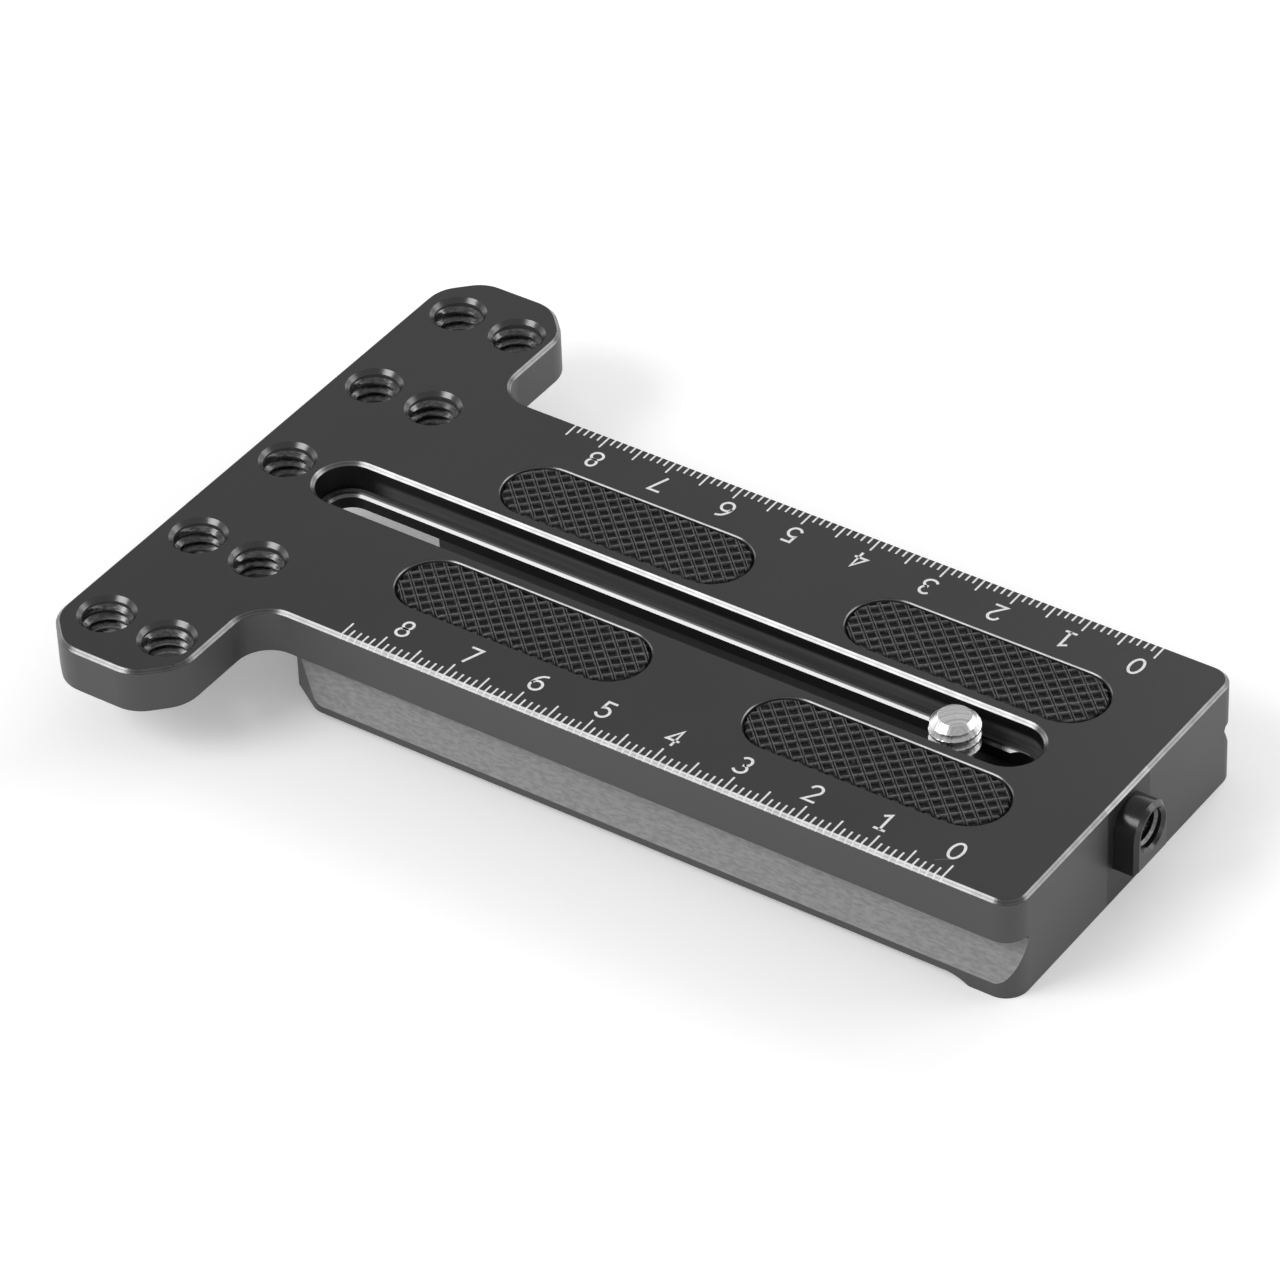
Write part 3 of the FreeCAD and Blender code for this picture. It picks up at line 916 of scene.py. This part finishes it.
@dataclass
class PlateSizes:
    """Sizes of the machined plate, read from the frame or measured on it."""

    near_x: float
    far_x: float
    top_z: float
    half_width: float = 25.25 * MM
    bevel: float = 0.5 * MM
    flange: float = 6.1 * MM
    boss_reach: float = 3.3 * MM
    slot_near: float = 14.9 * MM
    slot_reach: float = 4.65 * MM
    slot_length: float = 95.9 * MM
    ledge_depth: float = 4.0 * MM
    hole_radius: float = 3.175 * MM
    hole_edge: float = 5.65 * MM
    hole_row_gap: float = 9.14 * MM
    hole_pitch: float = 18.33 * MM
    mouth_reach: float = 3.8 * MM
    mouth_margin: float = 0.05 * MM
    boss_below_top: float = 4.7 * MM
    boss_hole_radius: float = 2.5 * MM

    @classmethod
    def from_frame(cls) -> PlateSizes:
        """Read the overall sizes from the plate's box.

        Returns:
            The plate's sizes.
        """
        low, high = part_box("plate")
        sizes = cls(near_x=low[0], far_x=high[0], top_z=high[2])
        sizes.far_x -= sizes.boss_reach
        return sizes

    @property
    def throat_top_z(self) -> float:
        """Height of the ledge in the slot."""
        return self.top_z - self.ledge_depth

    @property
    def holes_side_y(self) -> float:
        """Distance from the middle to just past the outermost holes."""
        return 2 * self.hole_pitch + self.mouth_reach

    @property
    def holes_end_x(self) -> float:
        """Place just past the inner row of holes."""
        inner_row = self.near_x + self.hole_edge + self.hole_row_gap
        return inner_row + self.mouth_reach + self.mouth_margin

    @property
    def slot_end_x(self) -> float:
        """Near end of the slot's top edge."""
        return self.near_x + self.slot_near - self.slot_reach

    @property
    def slot_far_x(self) -> float:
        """Far end of the slot's top edge."""
        return self.slot_end_x + self.slot_length + 2 * self.slot_reach

    def head_holes(self) -> list[tuple[float, float]]:
        """Centres of the nine tapped holes in the head.

        Returns:
            X and Y of each hole, the outer row first.
        """
        outer = self.near_x + self.hole_edge
        inner = outer + self.hole_row_gap
        places = [(outer, step * self.hole_pitch) for step in range(-2, 3)]
        places += [(inner, step * self.hole_pitch) for step in (-2, -1, 1, 2)]
        return places


@dataclass
class Thread:
    """A sixty degree thread, inside or outside."""

    pitch: float
    depth: float
    steps: int = 56
    crest_share: float = 0.16
    root_share: float = 0.92
    taper_turn: float = 0.3
    least_growth: float = 0.02
    bury: float = 1.01

    def inner_ridge(self, bm: bmesh.types.BMesh, matrix: Matrix, wall: float,
                    low: float, high: float, phase: float) -> None:
        """Add the ridge of a tapped hole.

        Args:
            bm: mesh that receives the ridge.
            matrix: places the hole's axis, which is Z before it.
            wall: radius of the hole's wall, which the ridge stands on.
            low: where the ridge starts along the axis.
            high: where it ends.
            phase: turn of its start, in radians.
        """
        turns = (high - low - self.pitch * self.root_share) / self.pitch
        count = max(8, int(turns * self.steps))
        previous: Ring | None = None
        first: Ring | None = None
        for index in range(count + 1):
            turn = turns * index / count
            angle = phase + turn * math.tau
            centre = low + self.pitch * self.root_share / 2 + turn * self.pitch
            grown = min(1.0, turn / self.taper_turn, (turns - turn) / self.taper_turn)
            crest = wall - self.depth * max(grown, self.least_growth)
            half_root = self.pitch * self.root_share / 2
            half_crest = self.pitch * self.crest_share / 2
            root = wall * self.bury
            section = ((root, centre - half_root), (crest, centre - half_crest),
                       (crest, centre + half_crest), (root, centre + half_root))
            ring = [
                bm.verts.new(matrix @ Vector((r * math.cos(angle), r * math.sin(angle), z)))
                for r, z in section]
            if previous is None:
                first = ring
            else:
                bridge(bm, previous, ring)
            previous = ring
        bm.faces.new(first)
        bm.faces.new(previous)

    def outer_radius(self, nominal: float, height: float, angle: float) -> float:
        """Radius of a screw at a height and an angle.

        Args:
            nominal: radius over the crests.
            height: height along the axis.
            angle: angle about it.

        Returns:
            The radius there.
        """
        place = (height / self.pitch - angle / math.tau) % 1.0
        away = abs(place - 0.5) * 2.0
        flank = (away - self.crest_share) / (self.root_share - self.crest_share)
        return nominal - self.depth * min(1.0, max(0.0, flank))


@dataclass
class TappedHoles:
    """Ridges of the nine head holes and of the boss hole."""

    sizes: PlateSizes
    head_thread: Thread = field(default_factory=lambda: Thread(1.27 * MM, 0.62 * MM))
    boss_thread: Thread = field(default_factory=lambda: Thread(0.8 * MM, 0.42 * MM))
    mouth: float = 0.62 * MM
    foot: float = 0.15 * MM
    first_phase: float = 1.9
    phase_step: float = 0.13
    boss_length: float = 8.9 * MM
    boss_mouth: float = 0.5 * MM
    boss_phase: float = 0.4

    def build(self) -> None:
        """Make both pieces and settle them on the plate."""
        finish = ThreadFinish().material()
        bm = bmesh.new()
        for order, (x_place, y_place) in enumerate(self.sizes.head_holes()):
            self.head_thread.inner_ridge(
                bm, Matrix.Translation((x_place, y_place, 0.0)), self.sizes.hole_radius,
                self.sizes.top_z - self.sizes.flange + self.foot,
                self.sizes.top_z - self.mouth, self.first_phase + self.phase_step * order)
        settle(piece_from(bm, "head_threads", finish, THREAD_SMOOTH), ROOT_BODY)

        bm = bmesh.new()
        face = self.sizes.far_x + self.sizes.boss_reach
        turned = Matrix.Translation((face, 0.0, self.sizes.top_z - self.sizes.boss_below_top))
        turned = turned @ Euler((0.0, math.pi / 2, 0.0)).to_matrix().to_4x4()
        self.boss_thread.inner_ridge(
            bm, turned, self.sizes.boss_hole_radius, -self.boss_length, -self.boss_mouth,
            self.boss_phase)
        settle(piece_from(bm, "boss_thread", finish, THREAD_SMOOTH), ROOT_BODY)


@dataclass
class PrintedScale:
    """Millimetre scale with centimetre numbers along both long edges."""

    sizes: PlateSizes
    zero_from_end: float = 10.0 * MM
    marks: int = 86
    long_every: int = 5
    long_inner: float = 22.45 * MM
    short_inner: float = 23.5 * MM
    mark_width: float = 0.25 * MM
    film: float = 0.012 * MM
    digit_middle: float = 20.07 * MM
    digit_height: float = 2.85 * MM
    digit_stroke: float = 0.36 * MM
    digit_step: float = 9.755 * MM
    digit_start: float = 1.0 * MM
    stroke_tail: float = 0.3
    sharpest_turn: float = 0.5
    scratch_from_zero: float = 1.55 * MM
    scratch_y: float = -22.25 * MM
    scratch_width: float = 0.07 * MM
    scratch_tone: float = 0.16

    @property
    def zero_x(self) -> float:
        """Place of the zero mark."""
        return self.sizes.far_x - self.zero_from_end

    def build(self) -> None:
        """Make the marks and the numbers and settle them on the plate."""
        finish = MarkFinish().material()
        bm = bmesh.new()
        for side in Side:
            for index in range(self.marks):
                self.add_mark(bm, self.zero_x - index * MM, side, index % self.long_every == 0)
        settle(piece_from(bm, "scale_marks", finish), ROOT_BODY)
        settle(self.numbers(finish), ROOT_BODY)
        settle(self.scratch(), ROOT_BODY)

    def add_mark(self, bm: bmesh.types.BMesh, x_place: float, side: Side, is_long: bool) -> None:
        """Add one mark, from its inner end over the bevel.

        Args:
            bm: mesh of the marks.
            x_place: place along the scale.
            side: edge that it is on.
            is_long: whether it is one of each five.
        """
        top = self.sizes.top_z
        flat = self.sizes.half_width - self.sizes.bevel
        inner = self.long_inner if is_long else self.short_inner
        line = ((inner, top), (flat, top), (self.sizes.half_width, top - self.sizes.bevel))
        rings: list[Ring] = []
        for across, height in line:
            ring = []
            for lift in (-self.film, self.film):
                slant = lift if height < top else 0.0
                for half in (-self.mark_width / 2, self.mark_width / 2):
                    ring.append(bm.verts.new(
                        (x_place + half, side.value * (across + slant), height + lift)))
            rings.append([ring[0], ring[1], ring[3], ring[2]])
        bridge(bm, rings[0], rings[1])
        bridge(bm, rings[1], rings[2])
        bm.faces.new(rings[0])
        bm.faces.new(rings[2])

    def numbers(self, finish: bpy.types.Material) -> bpy.types.Object:
        """Numbers 0 to 8 along both edges, each read from its own side.

        Args:
            finish: material of the numbers.

        Returns:
            One object with all of them.
        """
        bm = bmesh.new()
        for side in Side:
            turn = 0.0 if side is Side.FRONT else math.pi
            for number, strokes in enumerate(DIGITS):
                x_place = self.zero_x - self.digit_start - number * self.digit_step
                y_place = side.value * self.digit_middle
                place = Matrix.Translation((x_place, y_place, self.sizes.top_z))
                for stroke in strokes:
                    self.add_stroke(bm, stroke, place @ Matrix.Rotation(turn, 4, "Z"))
        return piece_from(bm, "scale_numbers", finish)

    def scratch(self) -> bpy.types.Object:
        """Fine scratch beside the front zero, as worn in the photograph.

        Returns:
            The scratch as an object.
        """
        bm = bmesh.new()
        x_place = self.zero_x - self.scratch_from_zero
        place = Matrix.Translation((x_place, self.scratch_y, self.sizes.top_z))
        fine = replace(self, digit_stroke=self.scratch_width)
        fine.add_stroke(bm, [(0.03, 0.32), (0.30, 0.55), (0.56, 0.68)], place)
        return piece_from(bm, "scale_scratch", MarkFinish(self.scratch_tone).material())

    def add_stroke(self, bm: bmesh.types.BMesh, stroke: Stroke, place: Matrix) -> None:
        """Add one line of a number as a thin raised ribbon.

        Args:
            bm: mesh of the numbers.
            stroke: its points, in digit heights from the digit's lower left corner.
            place: the digit's middle and its turn.
        """
        size = self.digit_height
        points = [Vector(((x - DIGIT_WIDTH / 2) * size, (y - 0.5) * size)) for x, y in stroke]
        closed = (points[0] - points[-1]).length < 0.01 * size
        if closed:
            points.pop()
        count = len(points)
        rings: list[Ring] = []
        for index, point in enumerate(points):
            before = points[index - 1] if index or closed else point
            after = points[(index + 1) % count] if index < count - 1 or closed else point
            ahead = (after - point if after != point else point - before).normalized()
            behind = (point - before).normalized() if point != before else ahead
            across = Vector((-(ahead.y + behind.y), ahead.x + behind.x)).normalized()
            spread = max(self.sharpest_turn, across.dot(Vector((-ahead.y, ahead.x))))
            reach = self.digit_stroke / 2 / spread
            tail = Vector((0.0, 0.0))
            if not closed and index in (0, count - 1):
                tail = ahead * self.digit_stroke * (self.stroke_tail if index else -self.stroke_tail)
            ring = []
            for lift, way in ((-1, -1), (-1, 1), (1, 1), (1, -1)):
                flat = point + tail + across * reach * way
                ring.append(bm.verts.new(place @ Vector((flat.x, flat.y, lift * self.film))))
            rings.append(ring)
        for first, second in zip(rings, rings[1:]):
            bridge(bm, first, second)
        if closed:
            bridge(bm, rings[-1], rings[0])
        else:
            bm.faces.new(rings[0])
            bm.faces.new(rings[-1])


@dataclass(frozen=True)
class RibFamily:
    """Parallel ribs with slanted flanks, and a groove along each crest or none."""

    angle: float
    gap: float
    half_width: float
    share: float
    flank: float
    notch_half: float = 0.01 * MM
    notch_share: float = 0.0

    def height(self, x_place: float, y_place: float) -> float:
        """Height of the ribs above the pits.

        Args:
            x_place: place along the plate.
            y_place: place across it.

        Returns:
            The share of the pits' depth, from zero to one.
        """
        turn = math.radians(self.angle)
        across = -x_place * math.sin(turn) + y_place * math.cos(turn)
        away = abs((across / self.gap + 0.5) % 1.0 - 0.5) * self.gap
        full = min(1.0, max(0.0, (self.half_width + self.flank - away) / self.flank))
        notch = self.notch_share * max(0.0, 1.0 - away / self.notch_half)
        return self.share * full - notch


@dataclass
class RibbedPad:
    """Rubber pad with two crossing families of double ribs."""

    node: str
    step: float = 0.072 * MM
    rib_rise: float = 0.05 * MM
    pit_depth: float = 0.42 * MM
    rim_round: float = 0.5 * MM
    least_half: float = 0.02 * MM
    steep: RibFamily = RibFamily(-43.9, 1.54 * MM, 0.22 * MM, 1.0, 0.06 * MM, 0.12 * MM, 0.5)
    gentle: RibFamily = RibFamily(44.1, 1.54 * MM, 0.13 * MM, 0.88, 0.14 * MM)

    def surface(self, x_place: float, y_place: float, top: float, rim: float) -> float:
        """Height of the pad's top at a place.

        Args:
            x_place: place along the plate.
            y_place: place across it.
            top: height of the plain solid's top.
            rim: distance from the pad's outline.

        Returns:
            The height there.
        """
        ribs = max(self.steep.height(x_place, y_place), self.gentle.height(x_place, y_place))
        fall = max(0.0, 1.0 - rim / self.rim_round)
        return top + self.rib_rise - self.pit_depth * (1.0 - ribs) - self.rim_round * fall * fall

    def build(self, finish: bpy.types.Material) -> None:
        """Make the pad in place of its plain solid.

        Args:
            finish: the rubber.
        """
        low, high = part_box(self.node)
        radius = (high[1] - low[1]) / 2
        middle_y = (high[1] + low[1]) / 2
        columns = int((high[0] - low[0]) / self.step)
        rows = int((high[1] - low[1]) / self.step)
        bm = bmesh.new()
        top_rows: list[Ring] = []
        foot_rows: list[Ring] = []
        for column in range(columns + 1):
            x_place = low[0] + (high[0] - low[0]) * column / columns
            overhang = max(0.0, low[0] + radius - x_place, x_place - high[0] + radius)
            half = math.sqrt(max(radius ** 2 - overhang ** 2, self.least_half ** 2))
            top_ring = []
            for row in range(rows + 1):
                y_place = middle_y + half * (2.0 * row / rows - 1.0)
                rim = radius - math.hypot(overhang, y_place - middle_y)
                top_ring.append(bm.verts.new(
                    (x_place, y_place, self.surface(x_place, y_place, high[2], rim))))
            top_rows.append(top_ring)
            foot_rows.append([
                bm.verts.new((x_place, middle_y - half, low[2])),
                bm.verts.new((x_place, middle_y + half, low[2]))])
        for column in range(columns):
            bridge(bm, top_rows[column], top_rows[column + 1], closed=False)
            first, second = foot_rows[column], foot_rows[column + 1]
            bm.faces.new((first[0], second[0], second[1], first[1]))
            bm.faces.new((first[0], second[0], top_rows[column + 1][0], top_rows[column][0]))
            bm.faces.new((first[1], second[1], top_rows[column + 1][-1], top_rows[column][-1]))
        for column in (0, columns):
            bm.faces.new((*top_rows[column], foot_rows[column][1], foot_rows[column][0]))
        pad = piece_from(bm, f"{self.node}_ribs", finish)
        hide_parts(self.node)
        settle(pad, ROOT_BODY)


@dataclass
class CameraScrew:
    """Turned steel screw with a thread, rings on its tip and a coin slot."""

    node: str = "camera_screw"
    thread: Thread = field(default_factory=lambda: Thread(1.27 * MM, 0.80 * MM, crest_share=0.22))
    radius: float = 3.175 * MM
    neck: float = 2.4 * MM
    head: float = 7.0 * MM
    head_thick: float = 3.6 * MM
    head_bevel: float = 0.4 * MM
    thread_length: float = 5.025 * MM
    tip_bevel: float = 1.1 * MM
    slot_width: float = 1.6 * MM
    slot_depth: float = 1.6 * MM
    segments: int = 120
    row_step: float = 0.05 * MM
    tip_rings: int = 9
    ring_depth: float = 0.02 * MM
    start_turn: float = 0.35
    smooth: float = 32.0
    root_margin: float = 0.02 * MM
    root_slope: float = 2.0
    cutter_length: float = 2.4

    def build(self) -> None:
        """Make the screw in place of its plain solid."""
        low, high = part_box(self.node)
        axis = Vector(((low[0] + high[0]) / 2, (low[1] + high[1]) / 2, 0.0))
        foot = low[2]
        tip = high[2]
        head_top = foot + self.head_thick
        profile: list[tuple[float, float]] = [
            (foot, self.head - self.head_bevel), (foot + self.head_bevel, self.head),
            (head_top - self.head_bevel, self.head), (head_top, self.head - self.head_bevel),
            (head_top, self.neck), (tip - self.thread_length, self.neck)]
        bm = bmesh.new()
        rings = [self.ring(bm, axis, height, lambda _angle, r=radius: r)
                 for height, radius in profile]
        rows = int(self.thread_length / self.row_step)
        for row in range(rows + 1):
            height = tip - self.thread_length + self.thread_length * row / rows
            rings.append(self.ring(bm, axis, height, self.threaded(height, tip)))
        flat = self.radius - self.tip_bevel
        for index in range(1, 2 * self.tip_rings + 1):
            radius = flat * (1.0 - index / (2 * self.tip_rings + 1))
            height = tip - (self.ring_depth if index % 2 else 0.0)
            rings.append(self.ring(bm, axis, height, lambda _angle, r=radius: r))
        for first, second in zip(rings, rings[1:]):
            bridge(bm, first, second)
        bm.faces.new(rings[0])
        bm.faces.new(rings[-1])
        finish = SteelFinish().material(axis)
        screw = piece_from(bm, "camera_screw_turned", finish, self.smooth)
        self.cut_coin_slot(screw, axis, foot)
        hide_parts(self.node)
        settle(screw, SCREW_BODY)

    def threaded(self, height: float, tip: float) -> Callable[[float], float]:
        """Find the outline of the threaded end at one height.

        Args:
            height: height of the outline.
            tip: height of the screw's tip.

        Returns:
            A function that gives the radius at an angle.
        """
        cone = self.radius - self.tip_bevel + (tip - height)
        lead = height - (tip - self.thread_length)
        opening = self.neck + self.root_margin + lead * self.root_slope

        def radius(angle: float) -> float:
            """Radius at an angle."""
            turned = angle + self.start_turn * math.tau
            return min(self.thread.outer_radius(self.radius, height, turned), cone, opening)

        return radius

    def ring(self, bm: bmesh.types.BMesh, axis: Vector, height: float,
             radius: Callable[[float], float]) -> Ring:
        """Add one ring of vertices about the screw's axis.

        Args:
            bm: mesh of the screw.
            axis: the axis on the floor.
            height: height of the ring.
            radius: radius at an angle.

        Returns:
            The ring.
        """
        made = []
        for index in range(self.segments):
            angle = math.tau * index / self.segments
            reach = radius(angle)
            made.append(bm.verts.new(
                axis + Vector((reach * math.cos(angle), reach * math.sin(angle), height))))
        return made

    def cut_coin_slot(self, screw: bpy.types.Object, axis: Vector, foot: float) -> None:
        """Cut the slot across the head.

        Args:
            screw: the screw's object.
            axis: its axis on the floor.
            foot: height of the head's lower face.
        """
        bm = bmesh.new()
        place = Matrix.Translation(axis + Vector((0, 0, foot)))
        size = Matrix.Diagonal(
            (self.head * self.cutter_length, self.slot_width, self.slot_depth * 2, 1.0))
        bmesh.ops.create_cube(bm, size=1.0, matrix=place @ size)
        cutter = piece_from(bm, "coin_slot_cutter", screw.data.materials[0])
        modifier = screw.modifiers.new("coin_slot", "BOOLEAN")
        modifier.operation = "DIFFERENCE"
        modifier.solver = "EXACT"
        modifier.object = cutter
        graph = bpy.context.evaluated_depsgraph_get()
        cut = bpy.data.meshes.new_from_object(screw.evaluated_get(graph))
        screw.modifiers.clear()
        screw.data = cut
        bpy.data.objects.remove(cutter)


@dataclass
class MachinedPlate:
    """The plate's own solid, which keeps its shape and gets its finish."""

    sizes: PlateSizes
    node: str = "plate"

    def build(self, nodes: dict[str, bpy.types.Object]) -> None:
        """Dress the solid.

        Args:
            nodes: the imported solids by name.
        """
        finish = AnodisedFinish().material(self.sizes)
        obj = nodes[self.node]
        for slot in obj.material_slots:
            slot.material = finish
        LOG.info("%s: finished", self.node)


@dataclass
class Softbox:
    """A large soft lamp that looks at the plate."""

    name: str
    toward: Point
    distance: float
    width: float
    height: float
    brightness: float

    def build(self, target: Vector) -> None:
        """Hang the lamp.

        Args:
            target: the point it looks at.
        """
        lamp = bpy.data.lights.new(self.name, "AREA")
        lamp.shape = "RECTANGLE"
        lamp.size = self.width
        lamp.size_y = self.height
        lamp.energy = self.brightness * math.pi * self.width * self.height
        obj = bpy.data.objects.new(self.name, lamp)
        direction = Vector(self.toward).normalized()
        obj.location = target + direction * self.distance
        obj.rotation_euler = direction.to_track_quat("Z", "Y").to_euler()
        bpy.context.scene.collection.objects.link(obj)


@dataclass
class Studio:
    """White floor, soft lamps, pale surroundings and the camera."""

    floor_half: float = 3.0
    floor_tone: float = 0.94
    floor_lift: float = 0.20
    ceiling: float = 0.42
    horizon: float = 2.0
    horizon_fade: Span = (0.10, 0.52)
    camera_side: float = 0.9
    camera_side_fade: Span = (0.25, 0.85)
    aim: Point = (0.0, 0.0, 0.01)
    focal_mm: float = 184.3
    sensor_mm: float = 36.0
    camera_place: Point = (0.35668, -0.50813, 0.49938)
    azimuth: float = 35.583
    elevation: float = 38.194
    roll: float = -2.291
    lamps: Sequence[Softbox] = (
        Softbox("key_softbox", (-0.46, -0.62, 0.64), 0.9, 0.46, 0.36, 6.4),
        Softbox("rim_softbox", (0.62, 0.64, 0.46), 0.9, 0.50, 0.34, 3.0),
        Softbox("sheen_softbox", (0.02, 0.78, 0.52), 0.5, 0.22, 0.14, 4.0),
    )

    def build(self) -> None:
        """Set up everything that isn't the object."""
        self.add_floor()
        self.add_world()
        for lamp in self.lamps:
            lamp.build(Vector(self.aim))
        self.add_camera()
        bpy.context.scene.view_settings.view_transform = "Standard"

    def add_floor(self) -> None:
        """White floor that keeps the object's shadow."""
        graph = MaterialGraph("studio_floor")
        diffuse = graph.node("ShaderNodeBsdfDiffuse")
        diffuse.inputs["Color"].default_value = (self.floor_tone,) * 3 + (1.0,)
        glow = graph.node("ShaderNodeEmission")
        glow.inputs["Color"].default_value = WHITE
        graph.link(graph.product(self.seen(graph), self.floor_lift), glow.inputs["Strength"])
        total = graph.node("ShaderNodeAddShader")
        graph.link(diffuse.outputs[0], total.inputs[0])
        graph.link(glow.outputs[0], total.inputs[1])
        graph.link(total.outputs[0], graph.output.inputs["Surface"])
        bm = bmesh.new()
        bmesh.ops.create_grid(bm, x_segments=1, y_segments=1, size=self.floor_half)
        floor = piece_from(bm, "studio_floor", graph.material)

    @staticmethod
    def seen(graph: Graph) -> bpy.types.NodeSocket:
        """Find the rays from the camera, in reflections and through glass.

        Args:
            graph: nodes of the floor.

        Returns:
            One for those rays and zero for others.
        """
        path = graph.node("ShaderNodeLightPath")
        direct = graph.math("MAXIMUM", path.outputs["Is Camera Ray"],
                            path.outputs["Is Transmission Ray"])
        return graph.math("MAXIMUM", direct, path.outputs["Is Glossy Ray"])

    def add_world(self) -> None:
        """Surroundings that are pale at the horizon and dim overhead."""
        graph = WorldGraph("studio")
        azimuth = math.radians(self.azimuth)
        direction = graph.node("ShaderNodeTexCoord").outputs["Generated"]
        facing = graph.node("ShaderNodeVectorMath", operation="DOT_PRODUCT")
        facing.inputs[1].default_value = (math.sin(azimuth), -math.cos(azimuth), 0.0)
        graph.link(direction, facing.inputs[0])
        fall = graph.ramp(
            graph.split(direction)[2], *self.horizon_fade, self.horizon, self.ceiling)
        dim = graph.ramp(
            facing.outputs["Value"], *self.camera_side_fade, 1.0, self.camera_side)
        background = graph.node("ShaderNodeBackground")
        background.inputs["Color"].default_value = WHITE
        graph.link(graph.product(fall, dim), background.inputs["Strength"])
        graph.link(background.outputs[0], graph.output.inputs["Surface"])

    def add_camera(self) -> None:
        """Camera at the photograph's place and turn."""
        camera = bpy.data.cameras.new("camera")
        camera.lens = self.focal_mm
        camera.sensor_width = self.sensor_mm
        camera.clip_end = 20.0
        obj = bpy.data.objects.new("camera", camera)
        azimuth = math.radians(self.azimuth)
        elevation = math.radians(self.elevation)
        roll = math.radians(self.roll)
        forward = Vector((-math.sin(azimuth) * math.cos(elevation),
                          math.cos(azimuth) * math.cos(elevation), -math.sin(elevation)))
        level = Vector((math.cos(azimuth), math.sin(azimuth), 0.0))
        upright = level.cross(forward)
        right = level * math.cos(roll) + upright * math.sin(roll)
        up = right.cross(forward)
        turn = Matrix((right, up, -forward)).transposed().to_4x4()
        obj.matrix_world = Matrix.Translation(self.camera_place) @ turn
        bpy.context.scene.collection.objects.link(obj)
        bpy.context.scene.camera = obj


def main() -> None:
    """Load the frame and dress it."""
    logging.basicConfig(level=logging.INFO, format="%(name)s %(message)s")
    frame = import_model()
    sizes = PlateSizes.from_frame()
    Studio().build()
    MachinedPlate(sizes).build(frame["nodes"])
    TappedHoles(sizes).build()
    PrintedScale(sizes).build()
    pad_nodes = [name for name in frame["nodes"] if name.startswith("pad_")]
    low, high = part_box(pad_nodes[0])
    rubber = RubberFinish().material(
        high[2] - RibbedPad.pit_depth, high[2] + RibbedPad.rib_rise, RibbedPad.steep)
    for name in pad_nodes:
        RibbedPad(name).build(rubber)
    CameraScrew().build()


if __name__ == "__main__":
    main()
